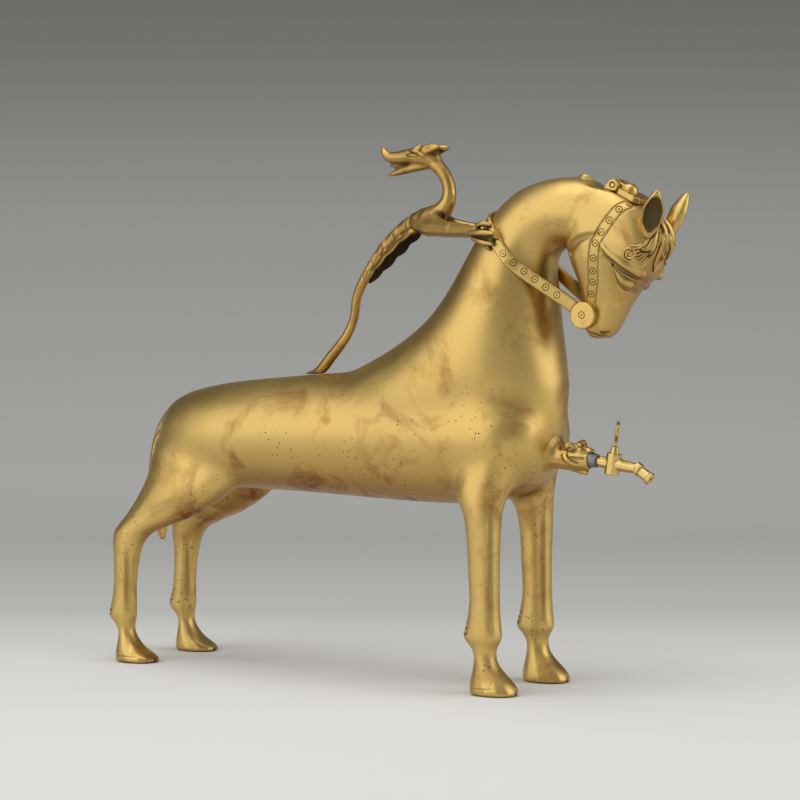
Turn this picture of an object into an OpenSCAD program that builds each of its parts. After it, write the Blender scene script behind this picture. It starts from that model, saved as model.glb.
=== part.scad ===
// Aquamanile: a cast water vessel in the form of a standing horse.
// Water goes in under the lid on the head and comes out of the tap on the breast.
// The small dragon on the back is the carrying handle and holds the ends of the reins.
// X points forward, Y to the horse's left, Z up.
// The origin lies on the ground, in the middle of the whole length.

/* [Vessel] */
// Thickness of the cast wall
wall = 4; // [3:0.5:4.5]
// Height of the belly above the ground
belly_z = 112; // [106:1:118]
// Length of the barrel
barrel_l = 292; // [286:1:298]
// Depth of the barrel from belly to back
barrel_h = 77; // [73:1:81]
// Width of the barrel
barrel_w = 82; // [78:1:86]
// Rise of the poll above the back
poll_rise = 121; // [115:1:127]
// Width of the neck where it meets the barrel
neck_w = 84; // [80:1:88]
// Length of the head from poll to muzzle
head_l = 97; // [93:1:101]
// Width of the head at the brow
head_w = 42; // [39:1:44]

/* [Stance] */
// Distance from the hind hooves to the front hooves
stance_l = 268; // [262:1:274]
// Distance from the right hooves to the left hooves
stance_w = 65; // [62:1:68]
// Thickness of the legs below the knee, front to back
cannon_d = 19; // [17:0.5:21]
// Length of a hoof
hoof_l = 32; // [29:0.5:34]
// Width of a hoof
hoof_w = 24; // [21:0.5:26]

/* [Head fittings] */
// Height of an ear
ear_l = 27; // [24:1:30]
// Width of an ear
ear_w = 13.6; // [12:0.2:15]
// Thickness of a lock of the forelock
lock_d = 4.4; // [3.6:0.2:5]
// Width of the rein strap
rein_w = 8.2; // [7:0.2:9]
// Thickness of the rein strap
rein_t = 3; // [2.6:0.2:3.6]
// Diameter of the boss at the end of the bit
boss_d = 16; // [13:0.5:17]
// Thickness of the boss
boss_t = 3.4; // [2.6:0.2:4.2]

/* [Lid] */
// Slope of the lid down towards the forehead
lid_slope = 27; // [24:1:30]
// Length of the lid plate
lid_l = 19; // [18:0.5:20]
// Width of the lid plate
lid_w = 21; // [19:0.5:23]
// Thickness of the lid plate
lid_t = 4; // [3.4:0.2:4.4]
// Width of the filler mouth under the lid
mouth_w = 14; // [12:0.5:15]
// Length of the filler mouth
mouth_l = 11; // [9:0.5:12]
// Diameter of the hinge pin
pin_d = 3.2; // [2.8:0.1:3.6]
// Width of the knuckle on the lid
knuckle_w = 8; // [7:0.5:9]
// Thickness of a hinge lug
lug_t = 3.6; // [3:0.2:4.2]

/* [Dragon handle] */
// Height of the dragon above the horse's back
dragon_h = 142; // [136:1:148]
// Thickness of the dragon's breast
dragon_d = 18; // [16:0.5:19]
// Spread of a wing from the spine
wing_s = 10; // [9:0.5:11]
// Thickness of a wing
wing_t = 2.6; // [2.2:0.1:3]
// Length of the dragon's head
dragon_head_l = 42; // [39:1:44]

/* [Spout and tap] */
// Height of the tap above the ground
tap_z = 138.5; // [136:0.5:141]
// Fall of the tap towards its nozzle
tap_fall = 8; // [6:1:10]
// Diameter of the water way
way_d = 2.6; // [2.2:0.1:2.8]
// Diameter of the tap tube
tube_d = 5.2; // [4.8:0.1:5.6]
// Distance across the flats of the tap body
tap_w = 8.6; // [8.2:0.2:9.6]
// Height of the tap body
tap_h = 13; // [12:0.5:14]
// Diameter of the plug at the water way
plug_d = 5.2; // [4.9:0.1:5.4]
// Height of the grip on the plug
grip_h = 15; // [13:0.5:17]
// Width of the grip
grip_w = 14; // [12:0.5:16]
// Thickness of the grip
grip_t = 2.1; // [1.8:0.1:2.4]
// Turn of the grip away from the line of the tube
grip_turn = 63; // [55:1:71]

/* [Fits] */
// Radial play of the hinge pin and of the plug
play = 0.05; // [0.03:0.01:0.08]
// Radial gap that solder or a drive fit fills
seat = 0.02; // [0.01:0.01:0.04]
// Air between the lid and what it swings past
lid_gap = 0.3; // [0.2:0.05:0.5]

/* [Hidden] */

latten = [0.72, 0.55, 0.25];
tap_brass = [0.78, 0.62, 0.28];
lead = [0.42, 0.43, 0.45];

back_z = belly_z + barrel_h;
poll_z = back_z + poll_rise;
barrel_x = -133;
// The front end of the barrel carries the neck, the head and the tap
breast_x = barrel_x + barrel_l;
poll_x = breast_x + 11;
tap_x = breast_x + 37;
hind_x = -stance_l / 2;
front_x = stance_l / 2;
side_y = stance_w / 2;
// Ends of the whole length: the hair on the hind fetlocks and the tips of the ears
x_rear = hind_x - 23;
x_fore = poll_x + 66;
x_mid = (x_rear + x_fore) / 2;

// Curves through hand-set points

function unit(v) = v / norm(v);
function total(v) = v * [for (x = v) 1];
function bend(a, b, c, d, t) =
  0.5 * (2 * b + (c - a) * t + (2 * a - 5 * b + 4 * c - d) * t * t
    + (3 * b - a - 3 * c + d) * t * t * t);
function at(p, u) =
  let (m = len(p) - 1, i = min(floor(u), m - 1))
  bend(p[max(i - 1, 0)], p[i], p[i + 1], p[min(i + 2, m)], u - i);
function through(p, n) = [for (k = [0:(len(p) - 1) * n]) at(p, k / n)];

// A station is [x, z of its upper end, x, z of its lower end, half width, y of its middle]
// A section is a rounded oval; a lower roundness gives it squarer corners

function squared(v, r) = sign(v) * pow(abs(v), r);
function section(s, a, r = 1) =
  let (c = squared(cos(a), r), w = squared(sin(a), r))
  [(s[0] + s[2] + (s[0] - s[2]) * c) / 2, s[5] + s[4] * w, (s[1] + s[3] + (s[1] - s[3]) * c) / 2];
function ring(s, n, r = 1) = [for (k = [0:n - 1]) section(s, 360 * k / n, r)];
function inset(s, d) =
  let (h = [s[0] - s[2], s[1] - s[3]], e = h * min(0.42, d / norm(h)))
  [s[0] - e[0], s[1] - e[1], s[2] + e[0], s[3] + e[1], max(s[4] - d, s[4] * 0.2), s[5]];

// A closed skin over rings of points, the same on its left and on its right

module skin(rings) {
  n = len(rings[0]);
  m = len(rings);
  points = [for (r = rings) each r];
  sides = [for (i = [0:m - 2], k = [0:n - 1])
    let (a = i * n + k, b = i * n + (k + 1) % n, c = a + n, d = b + n)
    each k < n / 2 ? [[a, b, c], [b, d, c]] : [[a, b, d], [a, d, c]]];
  first = [for (k = [1:n - 2]) [0, k + 1, k]];
  last = [for (k = [1:n - 2]) [(m - 1) * n, (m - 1) * n + k, (m - 1) * n + k + 1]];
  faces = concat(sides, first, last);
  size = total([for (f = faces) cross(points[f[0]], points[f[1]]) * points[f[2]]]);
  polyhedron(points, size < 0 ? faces : [for (f = faces) [f[2], f[1], f[0]]]);
}

// A round rod of changing thickness along a path; each point is [x, y, z, radius]

module rod(path, steps, n, across = [0, 1, 0]) {
  p = through(path, steps);
  m = len(p) - 1;
  skin([for (i = [0:m])
    let (a = p[max(i - 1, 0)], b = p[min(i + 1, m)],
      t = unit([b[0] - a[0], b[1] - a[1], b[2] - a[2]]),
      s = unit(cross(across, t)), w = cross(t, s), q = [p[i][0], p[i][1], p[i][2]])
    [for (k = [0:n - 1]) q + p[i][3] * (s * cos(360 * k / n) + w * sin(360 * k / n))]]);
}

// Sculpted forms are drawn as one skin, at their own size
module sculpted() {
  resize([0, 0, 0]) children();
}

module place() {
  translate([-x_mid, 0, 0]) children();
}

// Pieces are drawn for the left side and turned over for the right

module right() {
  mirror([0, 1, 0]) children();
}

module both() {
  children();
  right() children();
}

// Barrel: share of the length, of the depth at belly and back, of the half width

barrel_form = [
  [0.000, 0.40, 0.58, 0.14], [0.012, 0.28, 0.68, 0.36], [0.045, 0.13, 0.79, 0.66],
  [0.100, 0.06, 0.865, 0.86], [0.200, 0.03, 0.93, 0.97], [0.370, 0.02, 0.99, 0.98],
  [0.520, 0.00, 1.03, 0.98], [0.680, -0.02, 1.06, 1.02], [0.820, -0.01, 1.06, 1.05],
  [0.910, 0.06, 1.00, 1.00], [0.965, 0.20, 0.90, 0.80], [0.990, 0.34, 0.76, 0.52],
  [1.000, 0.46, 0.64, 0.20]];

function barrel_station(f, grow = 0) =
  let (x = barrel_x + barrel_l * (0.5 + (f[0] - 0.5) * (1 + 2 * grow / barrel_l)))
  [x, belly_z + f[2] * barrel_h, x, belly_z + f[1] * barrel_h, f[3] * barrel_w / 2, 0];
function barrel_top(x) =
  let (u = (x - barrel_x) / barrel_l,
    i = max([for (k = [0:len(barrel_form) - 2]) barrel_form[k][0] <= u ? k : 0]),
    v = (u - barrel_form[i][0]) / (barrel_form[i + 1][0] - barrel_form[i][0]))
  belly_z + barrel_h * at(barrel_form, i + v)[2];

module barrel_mass(d = 0) {
  fine = d == 0;
  s = through([for (f = barrel_form) barrel_station(f, -d)], fine ? 2 : 1);
  skin([for (q = s) ring(inset(q, d), fine ? 26 : 14)]);
}

// Neck and breast, up to the poll: crest point and throat point, measured from the front of the barrel,
// and share of the half width

function crest(f) = back_z + f * poll_rise;
neck_form = [
  [-159, crest(-0.03), 1.5, crest(-0.30), 0.98], [-119, crest(0.115), 4.5, crest(-0.05), 1.00],
  [-86, crest(0.29), -1, crest(0.25), 0.92], [-68, crest(0.485), -3, crest(0.44), 0.775],
  [-57, crest(0.645), -4, crest(0.54), 0.65], [-44, crest(0.80), -2, crest(0.60), 0.57],
  [-27, crest(0.93), 3, crest(0.64), 0.53], [-7, crest(0.985), 11, crest(0.65), 0.51],
  [12, crest(0.995), 21, crest(0.66), 0.48], [27, crest(0.965), 29, crest(0.70), 0.40]];
neck_stations = [for (f = neck_form)
  [breast_x + f[0], f[1], breast_x + f[2], f[3], f[4] * neck_w / 2, 0]];
function neck_point(u, a) = section(at(neck_stations, u), a);
function neck_out(u, a) =
  let (s = at(neck_stations, u), h = norm([s[0] - s[2], s[1] - s[3]]) / 2,
    e = [s[0] - s[2], 0, s[1] - s[3]] / 2 / h)
  unit(e * cos(a) / h + [0, sin(a) / s[4], 0]);

module neck_mass(d = 0) {
  fine = d == 0;
  places = fine ? [0:0.5:9] : [0:1:8];
  skin([for (u = places) ring(inset(at(neck_stations, u), d), fine ? 22 : 12)]);
}

// Head, from the poll to the muzzle: jaw point and face point, measured from the poll, and half width

function fall(f) = poll_z - f * head_l;
head_form = [
  [6, fall(0.05), 38, fall(0.13), 0.62], [-2, fall(0.19), 50, fall(0.215), 0.90],
  [-3, fall(0.36), 58, fall(0.345), 1.00], [1, fall(0.53), 59, fall(0.465), 0.98],
  [6, fall(0.66), 46, fall(0.66), 0.78], [8, fall(0.77), 38, fall(0.77), 0.62],
  [9, fall(0.87), 32.5, fall(0.865), 0.56], [10, fall(0.955), 28, fall(0.95), 0.50],
  [14, fall(1.00), 23, fall(1.00), 0.36]];
head_stations = [for (f = head_form)
  [poll_x + f[0], f[1], poll_x + f[2], f[3], f[4] * head_w / 2, 0]];
head_r = 0.66;
function head_point(u, a) = section(at(head_stations, u), a, head_r);
function head_out(u, a) =
  let (e = head_point(u, a + 4) - head_point(u, a - 4),
    f = head_point(u + 0.05, a) - head_point(u - 0.05, a))
  unit(cross(e, f));

module head_mass() {
  skin([for (q = through(head_stations, 2)) ring(q, 20, head_r)]);
}

module head_hollow() {
  skin([for (u = [0.5:0.75:6.5]) ring(inset(at(head_stations, u), wall), 12, head_r)]);
}

// Ridge over an eye: distance from the poll, share of the head's width, of its length, radius

brow_path = [
  [43, 0.42, 0.50, 2.0], [49, 0.36, 0.54, 3.4], [49.5, 0.26, 0.60, 3.0], [43.5, 0.2, 0.67, 1.4]];

module brow() {
  rod([for (q = brow_path) [poll_x + q[0], q[1] * head_w, fall(q[2]), q[3]]], 2, 8);
}

module head_form_mass() {
  head_mass();
  both() brow();
}

module cavity() {
  barrel_mass(wall);
  neck_mass(wall);
  head_hollow();
}

// Frame of the lid: its origin is the hinge, X runs down the slope

hinge_x = poll_x + 28.8;
hinge_z = poll_z - 6.8;
hinge_rise = 0.6;
knuckle_r = pin_d / 2 + 2.2;

module lid_frame() {
  translate([hinge_x, 0, hinge_z]) rotate([0, lid_slope, 0]) children();
}

// The flat seat of the lid, with the room its knuckle swings in
module lid_room() {
  lid_frame() {
    translate([-1, -lid_w / 2 - 0.6, -lid_t + hinge_rise - lid_gap / 2])
      cube([lid_l + 3.2, lid_w + 1.2, 40]);
    rotate([90, 0, 0])
      cylinder(r = knuckle_r + lid_gap, h = knuckle_w + 2 * lid_gap, center = true, $fn = 32);
  }
}

module filler_mouth() {
  lid_frame() translate([6, -mouth_w / 2, -18]) cube([mouth_l, mouth_w, 40]);
}

// Spout and tap, along the fall of the tap

module tap_frame() {
  translate([tap_x, 0, tap_z]) rotate([0, tap_fall, 0]) children();
}

module along(x) {
  translate([x, 0, 0]) rotate([0, 90, 0]) children();
}

module spout_bore() {
  tap_frame() along(-62) cylinder(d = tube_d + 2 * seat, h = 60, $fn = 36);
}

module barrel() {
  color(latten) sculpted() difference() {
    barrel_mass();
    cavity();
    spout_bore();
  }
}

module neck() {
  color(latten) sculpted() difference() {
    neck_mass();
    barrel_mass();
    cavity();
  }
}

module head() {
  color(latten) sculpted() difference() {
    head_form_mass();
    neck_mass();
    cavity();
    lid_room();
    filler_mouth();
  }
}

// Ear: a pointed cup, its hollow turned outwards and forwards; height and half width

ear_form = [[-8, 3.5], [0, 4.8], [8, 7.3], [16, 7.5], [23, 5.0], [28, 2.2], [30, 0.5]];
ear_hollow = [[1, 1.4], [7, 5.6], [16, 6.2], [23, 3.8], [27, 1.0]];

module ear_skin(form, depth) {
  skin([for (s = form) [for (k = [0:11])
    [s[1] * depth * cos(30 * k), s[1] * ear_w / 15 * sin(30 * k), s[0] * ear_l / 30]]]);
}

module ear() {
  translate([poll_x + 55.5, head_w * 0.34, poll_z - 35]) rotate([10, 22, 58]) difference() {
    ear_skin(ear_form, 0.72);
    translate([3.4, 0, 0]) ear_skin(ear_hollow, 0.8);
  }
}

module ear_left() {
  color(latten) sculpted() difference() {
    ear();
    head_form_mass();
    neck_mass();
    lid_room();
  }
}

module ear_right() {
  right() ear_left();
}

// Forelock: locks that fall from between the ears over the brow; place along and round the head, size

mid_lock = [[1.55, 180, 0.8], [1.8, 180, 1.2], [2.3, 180, 1.1], [2.9, 180, 0.8], [3.3, 180, 0.4]];
near_lock = [[1.55, 172, 0.8], [1.8, 166, 1.2], [2.3, 160, 1.1], [2.9, 155, 0.8], [3.2, 150, 0.4]];
curl_lock = [
  [1.55, 168, 0.8], [2.0, 161, 1.2], [2.5, 154, 1.1], [2.9, 146, 1.0], [2.95, 135, 0.8], [2.75, 130, 0.4]];

module lock(points) {
  rod([for (q = points)
    concat(head_point(q[0], q[1]) + head_out(q[0], q[1]) * 0.5, q[2] * lock_d / 2)], 2, 5, [1, 0, 0.2]);
}

module forelock() {
  color(latten) sculpted() difference() {
    union() {
      lock(mid_lock);
      both() lock(near_lock);
      both() lock(curl_lock);
    }
    head_form_mass();
    neck_mass();
    lid_room();
    both() ear();
  }
}

// Legs: height, back and front, half width and inward shift, from the sole up

module leg_form(rows, x) {
  s = [for (r = rows) [x + r[1], r[0], x + r[2], r[0], r[3], side_y - r[4]]];
  skin([for (q = through(s, 2)) ring(q, 12, 0.9)]);
}

cannon_r = cannon_d / 2;
hoof_r = hoof_l / 2;
front_rows = [
  [-4, -hoof_r, hoof_r, hoof_w / 2, 0], [3, -hoof_r, hoof_r - 1, hoof_w / 2, 0],
  [8, -15.5, 11.5, hoof_w / 2 - 1, 0], [12.5, -14.5, 6.5, hoof_w / 2 - 2.6, 0], [18, -13.5, 1.6, 7.6, 0],
  [25, -13.5, 0, 7.0, 0], [30.5, -17.5, 2.2, 7.8, 0], [34, -21, 4.4, 8.8, 0], [43, -18.6, 3.4, 8.6, 0],
  [56, -7 - cannon_r, cannon_r - 7, 8.4, 0], [75, -8 - cannon_r, cannon_r - 7, 8.6, 0],
  [95, -9 - cannon_r, cannon_r - 6.5, 9.4, 0], [110, -22, 4, 11.6, 1], [122, -30, 7, 14, 4],
  [142, -25, 12, 15, 8], [160, -14, 12, 13, 13]];
hind_rows = [
  [-4, -hoof_r, hoof_r, hoof_w / 2, 0], [2.5, -hoof_r, hoof_r - 1.5, hoof_w / 2, 0],
  [6, -16, 9, hoof_w / 2 - 0.8, 0], [9.5, -15.5, 3, hoof_w / 2 - 2.6, 0], [14, -15, -1, 7.6, 0],
  [19, -14.5, -4, 6.4, 0], [23.5, -16.4, -4.2, 6.5, 0], [27, -19.8, -3.4, 7.0, 0],
  [30, -23, -2.6, 7.6, 0], [40, -20, -2.5, 7.3, 0], [52, 0.5 - 2 * cannon_r, -2.5, 7.2, 0],
  [70, 0.5 - 2 * cannon_r, 0.5, 7.6, 0], [84, -19.5, 9, 8.6, 1], [95, -12, 38, 11, 4],
  [108, -4, 62, 15, 7], [122, 2, 74, 17, 10], [138, 4, 66, 17, 14], [156, 14, 50, 14, 18]];

module ground() {
  translate([-400, -200, -30]) cube([800, 400, 30]);
}

module leg_front_left() {
  color(latten) difference() {
    sculpted() difference() {
      leg_form(front_rows, front_x);
      barrel_mass();
      neck_mass();
    }
    ground();
  }
}

module leg_front_right() {
  right() leg_front_left();
}

module leg_hind_left() {
  color(latten) difference() {
    sculpted() difference() {
      leg_form(hind_rows, hind_x);
      barrel_mass();
    }
    ground();
  }
}

module leg_hind_right() {
  right() leg_hind_left();
}

// Tail: hangs from the rump and tucks in between the hocks

tail_path = [
  [barrel_x + 14, 0, belly_z + 0.72 * barrel_h, 3], [barrel_x + 2, 0, belly_z + 0.62 * barrel_h, 5],
  [barrel_x - 6, 0, belly_z + 0.40 * barrel_h, 6.2], [barrel_x - 9, 0, belly_z + 0.10 * barrel_h, 7],
  [barrel_x - 9, 0, belly_z - 12, 6.4], [barrel_x - 7, 0, belly_z - 26, 4.4],
  [barrel_x - 5.5, 0, belly_z - 35, 1.8]];

module tail() {
  color(latten) sculpted() difference() {
    rod(tail_path, 2, 12);
    barrel_mass();
    both() leg_form(hind_rows, hind_x);
  }
}

// Reins: a strap from the crest down the side of the neck to the bit

boss_u = 5.9;
boss_p = head_point(boss_u, 62);
boss_at = [boss_p[0], head_w * 0.31, boss_p[2]];

rein_form = [[5.0, 0], [4.95, 40], [4.72, 75], [4.25, 105], [3.8, 126]];
rein_path = concat(
  [for (q = rein_form)
    let (o = neck_out(q[0], q[1]))
    concat(neck_point(q[0], q[1]) + o * 0.6, o)],
  [concat(boss_at + [-9, 2.2, 7], [0, 1, 0]), concat(boss_at + [0, 0.8, 0], [0, 1, 0])]);

module rein() {
  p = through(rein_path, 3);
  m = len(p) - 1;
  skin([for (i = [0:m])
    let (a = p[max(i - 1, 0)], b = p[min(i + 1, m)],
      t = unit([b[0] - a[0], b[1] - a[1], b[2] - a[2]]),
      o = unit([p[i][3], p[i][4], p[i][5]]), w = unit(cross(t, o)) * rein_w / 2,
      q = [p[i][0], p[i][1], p[i][2]], h = o * rein_t / 2)
    [q + w * 0.8 + h, q + w + h * 0.3, q + w - h, q - w - h, q - w + h * 0.3, q - w * 0.8 + h]]);
}

module rein_left() {
  color(latten) sculpted() difference() {
    rein();
    neck_mass();
    head_form_mass();
    barrel_mass();
    boss_blank();
    translate([-300, -100, 0]) cube([900, 100, 600]);
  }
}

module rein_right() {
  right() rein_left();
}

// Bosses at the ends of the bit, with a sunk ring

boss_root = 8;
ring_depth = 0.6;

module boss_frame() {
  translate(boss_at) rotate([-90, 0, 0]) children();
}

module boss_blank() {
  boss_frame() translate([0, 0, -boss_root]) cylinder(d = boss_d, h = boss_root + boss_t, $fn = 40);
}

module bit_boss_left() {
  color(latten) difference() {
    boss_blank();
    boss_frame() translate([0, 0, boss_t - ring_depth]) difference() {
      cylinder(d = boss_d * 0.42, h = 4, $fn = 32);
      translate([0, 0, -1]) cylinder(d = boss_d * 0.28, h = 6, $fn = 32);
    }
    sculpted() head_mass();
  }
}

module bit_boss_right() {
  right() bit_boss_left();
}

// Hinge of the lid: two lugs on the poll, a pin and the knuckle of the lid

module lug() {
  lid_frame() translate([0, knuckle_w / 2 + lid_gap + lug_t / 2, 0]) hull() {
    rotate([90, 0, 0]) cylinder(r = knuckle_r, h = lug_t, center = true, $fn = 32);
    translate([-5, -lug_t / 2, -9]) cube([8, lug_t, 2]);
  }
}

module pin_room(extra) {
  lid_frame() rotate([90, 0, 0]) cylinder(r = pin_d / 2 + extra, h = 60, center = true, $fn = 32);
}

module hinge_lugs() {
  color(latten) difference() {
    both() lug();
    sculpted() union() {
      neck_mass();
      head_mass();
    }
    pin_room(seat);
  }
}

module hinge_pin() {
  color(tap_brass) lid_frame() rotate([90, 0, 0])
    cylinder(d = pin_d, h = knuckle_w + 2 * lid_gap + 2 * lug_t, center = true, $fn = 32);
}

module lid() {
  under = hinge_rise - lid_t + lid_gap / 2;
  half = lid_w / 2;
  color(latten) lid_frame() difference() {
    union() {
      translate([knuckle_r + lid_gap + 0.4, 0, under]) linear_extrude(lid_t)
        polygon([[0, 2 - half], [2, -half], [lid_l - 6, -half], [lid_l - 3, 3 - half],
          [lid_l - 3, half - 3], [lid_l - 6, half], [2, half], [0, half - 2]]);
      rotate([90, 0, 0]) cylinder(r = knuckle_r, h = knuckle_w, center = true, $fn = 32);
      translate([0, -knuckle_w / 2, under]) cube([knuckle_r + 3, knuckle_w, knuckle_r - under - 0.6]);
      translate([8.6, 0, hinge_rise - 0.4]) rotate_extrude($fn = 32)
        polygon([[0, 0], [5, 0], [4.8, 1.6], [4, 3.2], [2.6, 4.3], [1.2, 4.8], [0, 4.9]]);
    }
    rotate([90, 0, 0]) cylinder(r = pin_d / 2 + play, h = 40, center = true, $fn = 32);
  }
}

// Dragon handle, from the tip of its tail to the top of its neck

foot_x = -11;
function dz(f) = back_z + f * dragon_h;
spine = [
  [foot_x - 19, 0, barrel_top(foot_x - 19) + 0.2, 0.7],
  [foot_x - 10, 0, barrel_top(foot_x - 10) + 0.6, 1.5],
  [foot_x - 2, 0, barrel_top(foot_x - 2) + 1.4, 3.4], [-4, 0, dz(0.08), 3.6], [7, 0, dz(0.165), 3.2],
  [13, 0, dz(0.25), 3.0], [14.5, 0, dz(0.325), 3.1], [18, 0, dz(0.388), 3.3], [26, 0, dz(0.475), 3.6],
  [37.5, 0, dz(0.565), 4.4], [51, 0, dz(0.64), 5.4], [64.5, 0, dz(0.682), dragon_d * 0.38],
  [75, 0, dz(0.70), dragon_d * 0.38], [82, 0, dz(0.755), 5.0], [82.5, 0, dz(0.82), 4.3],
  [78.5, 0, dz(0.88), 4.3], [72.5, 0, dz(0.92), 4.7]];

module dragon_mass() {
  rod(spine, 2, 10);
}

module dragon_body() {
  color(latten) sculpted() difference() {
    dragon_mass();
    barrel_mass();
    neck_mass();
  }
}

// Wings: two curved blades along the spine with a scalloped edge

wing_from = 7.3;
wing_rise = 2.2;
wing_to = 11.2;

module wing() {
  n = 20;
  skin([for (i = [0:n])
    let (u = wing_from + (wing_to - wing_from) * i / n, p = at(spine, u),
      a = at(spine, u - 0.1), b = at(spine, u + 0.1), t = unit([b[0] - a[0], 0, b[2] - a[2]]),
      up = [-t[2], 0, t[0]], q = [p[0], 0, p[2]] + up * (p[3] * 0.25 + wing_rise * sin(180 * i / n)),
      f = i / n, scallop = 1 + 0.16 * abs(sin(900 * f)),
      reach = wing_s * pow(sin(180 * (0.06 + 0.88 * f)), 0.7) * scallop,
      out = unit([0, 0.56, 0] - up * 0.83), tip = q + out * (p[3] * 0.6 + reach),
      h = unit(cross(t, out)) * wing_t / 2)
    [q + h, tip + h * 0.5, tip - h * 0.5, q - h]]);
}

module dragon_wings() {
  color(latten) sculpted() difference() {
    both() wing();
    dragon_mass();
    neck_mass();
    both() foreleg();
  }
}

// Forelegs: they reach forward and grip the reins on the neck

paw_u = 4.72;
paw_a = 72;
paw_out = neck_out(paw_u, paw_a);
paw = neck_point(paw_u, paw_a) + paw_out * 1.6;

module foreleg() {
  s = at(spine, 11);
  d = unit(neck_point(paw_u - 0.25, paw_a + 15) - neck_point(paw_u + 0.1, paw_a - 15));
  w = cross(d, paw_out);
  rod([concat([s[0] - 4, 2, s[2] - 1], 5.4), concat([s[0] + 8, 8, s[2] - 6], 5.4),
    concat(paw + [-18, -3, 4], 3.9), concat(paw + [-7, 1, 1.5], 3.4), concat(paw, 3.6)], 2, 10);
  for (k = [-1, 0, 1])
    rod([concat(paw - d * 5 + w * k * 1.6, 2.2), concat(paw + w * k * 4 + paw_out * 1.6, 2.8),
      concat(paw + d * 5 + w * k * 4.6 + paw_out * 0.8, 2.0),
      concat(paw + d * 8 + w * k * 4.8 - paw_out, 0.8)], 1, 6);
}

module dragon_foreleg_left() {
  color(latten) sculpted() difference() {
    foreleg();
    dragon_mass();
    neck_mass();
    rein();
  }
}

module dragon_foreleg_right() {
  right() dragon_foreleg_left();
}

// Dragon's head, looking back over its own tail, with open jaws

upper_jaw = [
  [3, 0, -1, 3.6], [-4, 0, 4.5, 6.6], [-12, 0, 5.2, 5.8], [-21, 0, 4.8, 4.8], [-29, 0, 4.6, 3.9],
  [-34.5, 0, 5.8, 3.2], [-37.5, 0, 9, 2.4], [-36.5, 0, 11.4, 1.0]];
lower_jaw = [
  [-4, 0, 0, 3.6], [-13, 0, -1.6, 3.2], [-22, 0, -3.6, 2.6], [-30, 0, -5.4, 1.9], [-35, 0, -6.6, 0.9]];
tongue = [[-14, 0, 1, 1.4], [-24, 0, -0.6, 1.4], [-32, 0, -0.8, 1.2], [-37, 0, 0.4, 0.6]];
dragon_ear = [[-8, 3.4, 6.4, 2.4], [-3, 5, 8.4, 3.6], [3, 5.8, 9.6, 2.6], [8, 6.2, 9.8, 0.6]];
ear_cup = [[-5, 8, 8.8, 0.9], [-2, 8.6, 9.4, 2.0], [2.6, 8.4, 10.2, 1.4], [6, 7.8, 10.2, 0.5]];
dragon_brow = [[-15, 3.4, 8.4, 1.2], [-11, 3.8, 9.6, 2.4], [-7, 3.8, 9, 1.4]];

module dragon_head() {
  s = spine[len(spine) - 1];
  color(latten) sculpted() difference() {
    translate([s[0], 0, s[2]]) scale(dragon_head_l / 42) difference() {
      union() {
        rod(upper_jaw, 2, 8);
        rod(lower_jaw, 2, 6);
        rod(tongue, 1, 5);
        both() rod(dragon_ear, 2, 7);
        both() rod(dragon_brow, 1, 5);
      }
      both() rod(ear_cup, 1, 6);
    }
    dragon_mass();
  }
}

// Spout: a beast's mask on the breast that holds the tube between its jaws
// Rings of the mask: place along the tube, rise of the middle, half height, half width

mask_form = [
  [-46, -1.6, 7.2, 7.6], [-36, -1.4, 7.8, 8.2], [-28, -1.0, 8.0, 8.4], [-22, -1.0, 7.2, 7.6],
  [-17.5, -0.8, 6.4, 6.6], [-14.5, -0.4, 5.6, 5.8]];

module mask_mass() {
  tap_frame() {
    skin([for (s = through(mask_form, 2)) [for (k = [0:11])
      [s[0], s[3] * sin(30 * k), s[1] + s[2] * cos(30 * k)]]]);
    both() rod([[-32, 5.6, 4.4, 1.8], [-27.5, 7, 6.2, 2.5], [-23, 6, 5.6, 1.6]], 1, 7);
    both() rod([[-24.5, 4.4, 4.4, 1.4], [-20.5, 4.4, 4.6, 2.2], [-17, 3.6, 4, 1.2]], 1, 7);
    rod([[-21, 0, 4.2, 3], [-16, 0, 4.2, 3.2], [-13, 0, 4.4, 1.6]], 2, 7);
    rod([[-27, 0, -6.4, 2.8], [-20, 0, -7.2, 2.6], [-15.4, 0, -8.4, 1.2]], 2, 7);
  }
}

module spout_mask() {
  color(latten) sculpted() difference() {
    mask_mass();
    neck_mass();
    barrel_mass();
    spout_bore();
    lead_blank(2 * seat);
  }
}

// Collar of lead round the tube, between the mask and the tap

lead_back = 16;
lead_l = 6;

module lead_blank(room = 0) {
  tap_frame() along(-lead_back)
    cylinder(r1 = tube_d / 2 + 2.2 + room, r2 = tube_d / 2 + 1.4 + room, h = lead_l, $fn = 32);
}

module lead_joint() {
  color(lead) difference() {
    lead_blank();
    spout_bore();
  }
}

module tap_tube() {
  color(tap_brass) tap_frame() along(-31) difference() {
    cylinder(d = tube_d, h = 31 - tap_w / 2 + 1.2, $fn = 32);
    translate([0, 0, -1]) cylinder(d = way_d, h = 60, $fn = 32);
  }
}

// Tap: an eight-sided body with a socket behind and an arm in front

plug_top = plug_d / 2 + tap_h * 0.02;
plug_end = plug_d / 2 - tap_h * 0.02;
arm_end = 16;
socket_l = 4.6;
nozzle_fall = 26;
neck_h = 4;

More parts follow.
